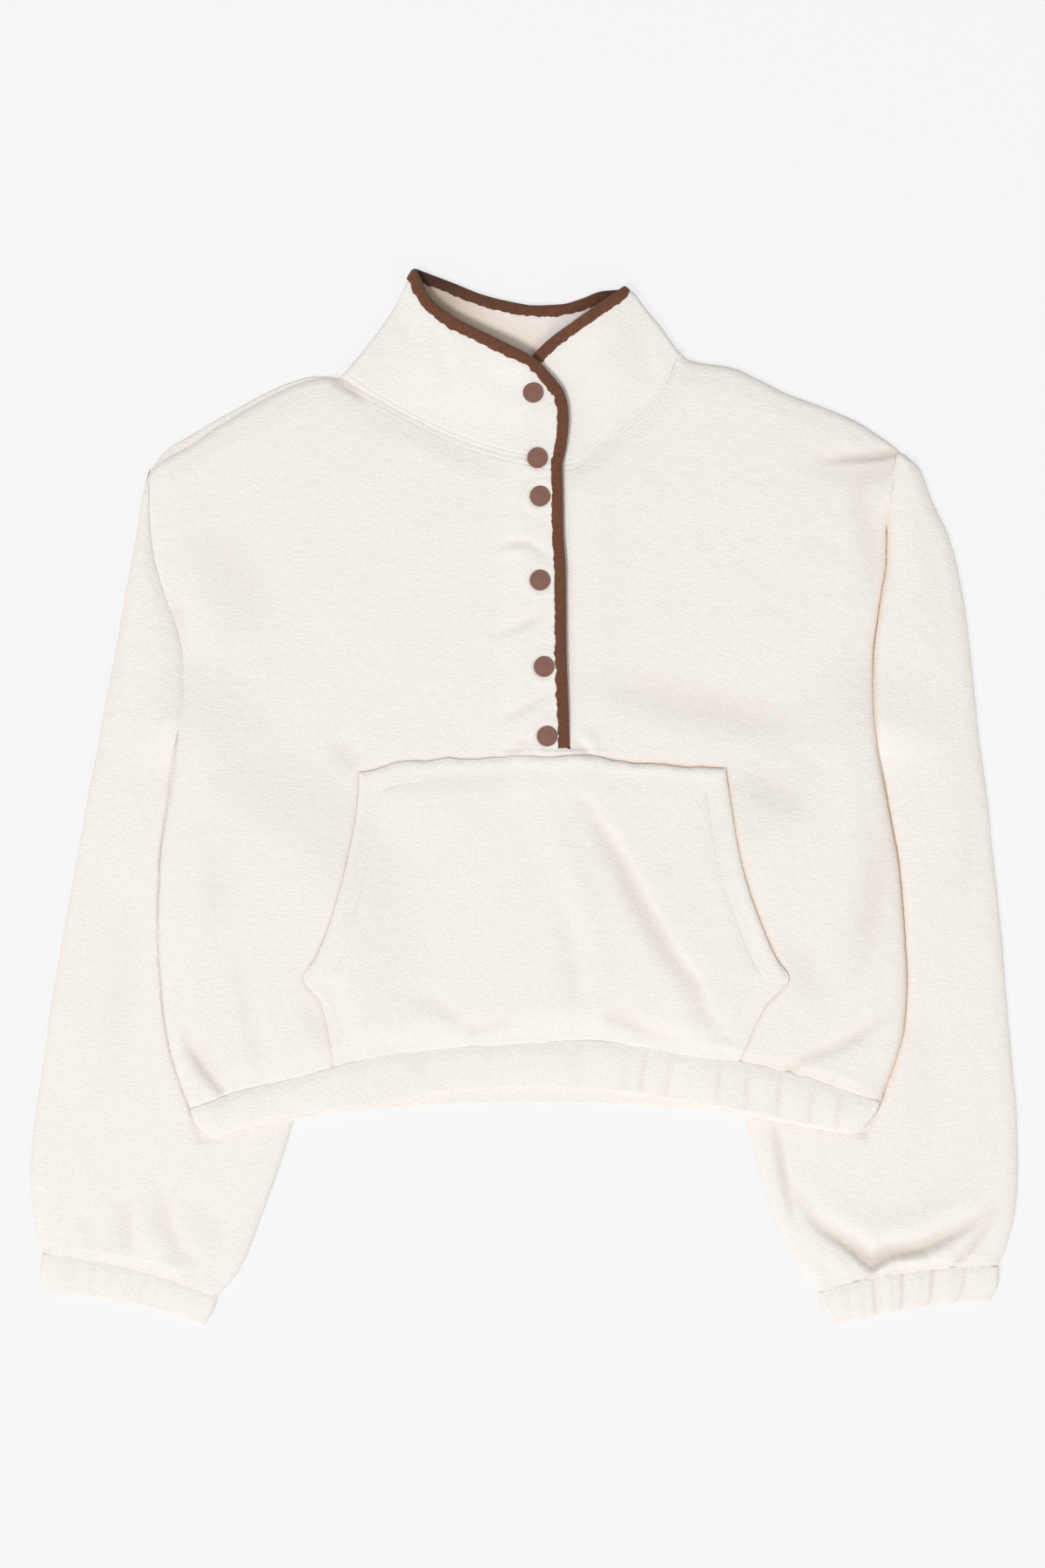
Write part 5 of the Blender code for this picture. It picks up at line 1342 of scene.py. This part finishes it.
def make_collar():
    middle = collar_middle()
    grid = thick_wall(middle, False, 0.3, 61, 0.9)
    reach = np.linalg.norm(grid - grid[:1], axis=-1)
    outer = np.arange(len(grid))[:, None] <= len(middle)
    lip = middle[-1, -RIGHT_COLUMNS::4, :2].tolist()
    near, _, place = to_path(grid[..., 0], grid[..., 1], lip)
    # Painted shade: the inner face a little darker all over, a painted shadow under the lip that passes 1
    # into the deep shade near its -X end, and warm painted shade near the lip; the outer face darker along
    # its seam.
    shadow = mix(1.45, 0.1, ease((place - 0.2) / 0.4)) * bump(near, mix(26.0, 14.0, place))
    dark = np.where(outer, 0.05 * bump(reach, 1.8), 0.12) + np.where(outer, 0.0, shadow)
    painted_warm_shade = np.where(outer, 0.0, 0.5 * bump(near, 18.0))
    stitch = stitch_line(reach - COLLAR_STITCH, outer)
    grids = [(grid, False, None)]
    made = fleece_piece("collar", "collar_fleece", grids, np.clip(dark, 0, 2), stitch, painted_warm_shade)
    return weld(made), middle


def resample(points, step):
    """Points a step apart along a chain."""
    lengths = np.concatenate([[0], np.cumsum(np.linalg.norm(np.diff(points, axis=0), axis=1))])
    at = np.linspace(0, lengths[-1], int(lengths[-1] / step) + 1)
    return join(*(np.interp(at, lengths, column) for column in points.T))


def soften(points, times):
    for _ in range(times):
        points[1:-1] = (points[:-2] + 2 * points[1:-1] + points[2:]) / 4
    return points


def make_binding(collar):
    """A tape folded over the overlap's edge and then along the collar's upper edge."""
    normals = grid_normals(collar)
    y = np.linspace(SLIT_FOOT + 0.4, 242.5, 130)
    cut = join(lap_edge(y), y, LAP_MID, 0, 0, 1)
    lap = np.concatenate([collar[2:-1, -1], normals[2:-1, -1]], -1)
    upper = np.concatenate([collar[-1, 6:], normals[-1, 6:]], -1)[::-1]
    chain = soften(resample(np.concatenate([cut, lap, upper]), 1.3), 3)
    places, normals = chain[:, :3], unit(chain[:, 3:])
    out = unit(np.cross(unit(np.gradient(places, axis=0)), normals))
    ragged = 0.9 * lumps(places, 2.1, 71) + 0.5 * lumps(places, 5.0, 72)
    rows = []
    for across, height in reversed(TAPE_PROFILE):
        reach = across + ragged * (across < -6)
        rows.append(places + out * reach[:, None] + normals * height)
    grid = np.array(rows)
    grid[..., 2] = np.maximum(grid[..., 2], 0.05)
    behind = np.clip(-3 * normals[:, 2], 0, 1)
    corners = bump(places[:, 0] - CORNER_RIGHT, 38) + 0.8 * bump(places[:, 0] - CORNER_LEFT, 18)
    shade = np.broadcast_to(behind * np.clip(0.12 + 0.7 * corners, 0, 1), grid.shape[:2])
    return piece("woven_binding", [(grid, False, None)], tape, "brown_binding", "binding", shade=shade)


def make_snaps():
    angles = np.linspace(0, 2 * math.pi, 65)[:-1]
    for number, (x, y, seat) in enumerate(SNAPS, start=1):
        rows = [
            join(np.cos(angles) * radius + x, np.sin(angles) * radius + y, seat + CAP_BASE + height)
            for radius, height in SNAP_PROFILE
        ]
        grids = [(np.array(rows), True, None)]
        made = piece(f"cap_{number}", grids, paint, "mauve_brown_paint", f"snap_{number}")
        mend(made, close_rim)


# ---------------- making
SQUARE = ((-1, -1), (1, -1), (1, 1), (-1, 1))
floor_mesh = bpy.data.meshes.new("floor")
floor_corners = [(x * FLOOR_HALF, y * FLOOR_HALF, FLOOR_LOW) for x, y in SQUARE]
floor_mesh.from_pydata(floor_corners, [], [(0, 1, 2, 3)])
floor = add_object("floor", floor_mesh)
paper = Surface("pale_floor", 0.9, 0.0)
paper.shade({"Base Color": FLOOR_GREY, "Emission Color": WHITE, "Emission Strength": FLOOR_GLOW})
floor_mesh.materials.append(paper.made)

front = make_front()
pocket = make_pocket()
back = make_back()
strip = make_under_strip()
hem = make_hem()
cuff_right = make_cuff("cuff_right", CUFF_RIGHT, True, GATHERS_RIGHT, 0.75, 101)
cuff_left = make_cuff("cuff_left", CUFF_LEFT, False, GATHERS_LEFT, 1.3, 111)
arm_right = make_sleeve("sleeve_right", sleeve_right, SLEEVE_RIGHT_CREASES, GATHERS_RIGHT, 121)
arm_left = make_sleeve("sleeve_left", sleeve_left, SLEEVE_LEFT_CREASES, GATHERS_LEFT, 131)
collar, collar_wall = make_collar()
binding = make_binding(collar_wall)
make_snaps()

# ---------------- room, light and camera
scene = bpy.context.scene
scene.view_settings.view_transform = "Standard"
scene.view_settings.look = "None"
scene.view_settings.exposure = 0.0
scene.view_settings.gamma = 1.0

world = bpy.data.worlds.new("studio")
world.use_nodes = True
background = world.node_tree.nodes["Background"]
background.inputs["Color"].default_value = WHITE
background.inputs["Strength"].default_value = WORLD
scene.world = world


def soft_light(name, place, watts):
    """A round light that shines at the middle of the floor."""
    lamp = bpy.data.lights.new(name, "AREA")
    lamp.shape = "DISK"
    lamp.size = LAMP_SIZE
    lamp.energy = watts
    made = add_object(name, lamp)
    made.location = place
    made.rotation_mode = "QUATERNION"
    made.rotation_quaternion = Vector(-unit(np.array(place))).to_track_quat("-Z", "Y")


soft_light("key", KEY_PLACE, KEY_WATTS)
soft_light("fill", FILL_PLACE, FILL_WATTS)

lens = bpy.data.cameras.new("camera")
lens.lens = LENS
lens.sensor_width = SENSOR
lens.clip_start, lens.clip_end = 0.1, 50.0
camera = add_object("camera", lens)
camera.location = (FRAME_MIDDLE[0] * MM, FRAME_MIDDLE[1] * MM, FRAME_HEIGHT * LENS / SENSOR)
camera.rotation_euler = (0.0, 0.0, 0.0)
scene.camera = camera
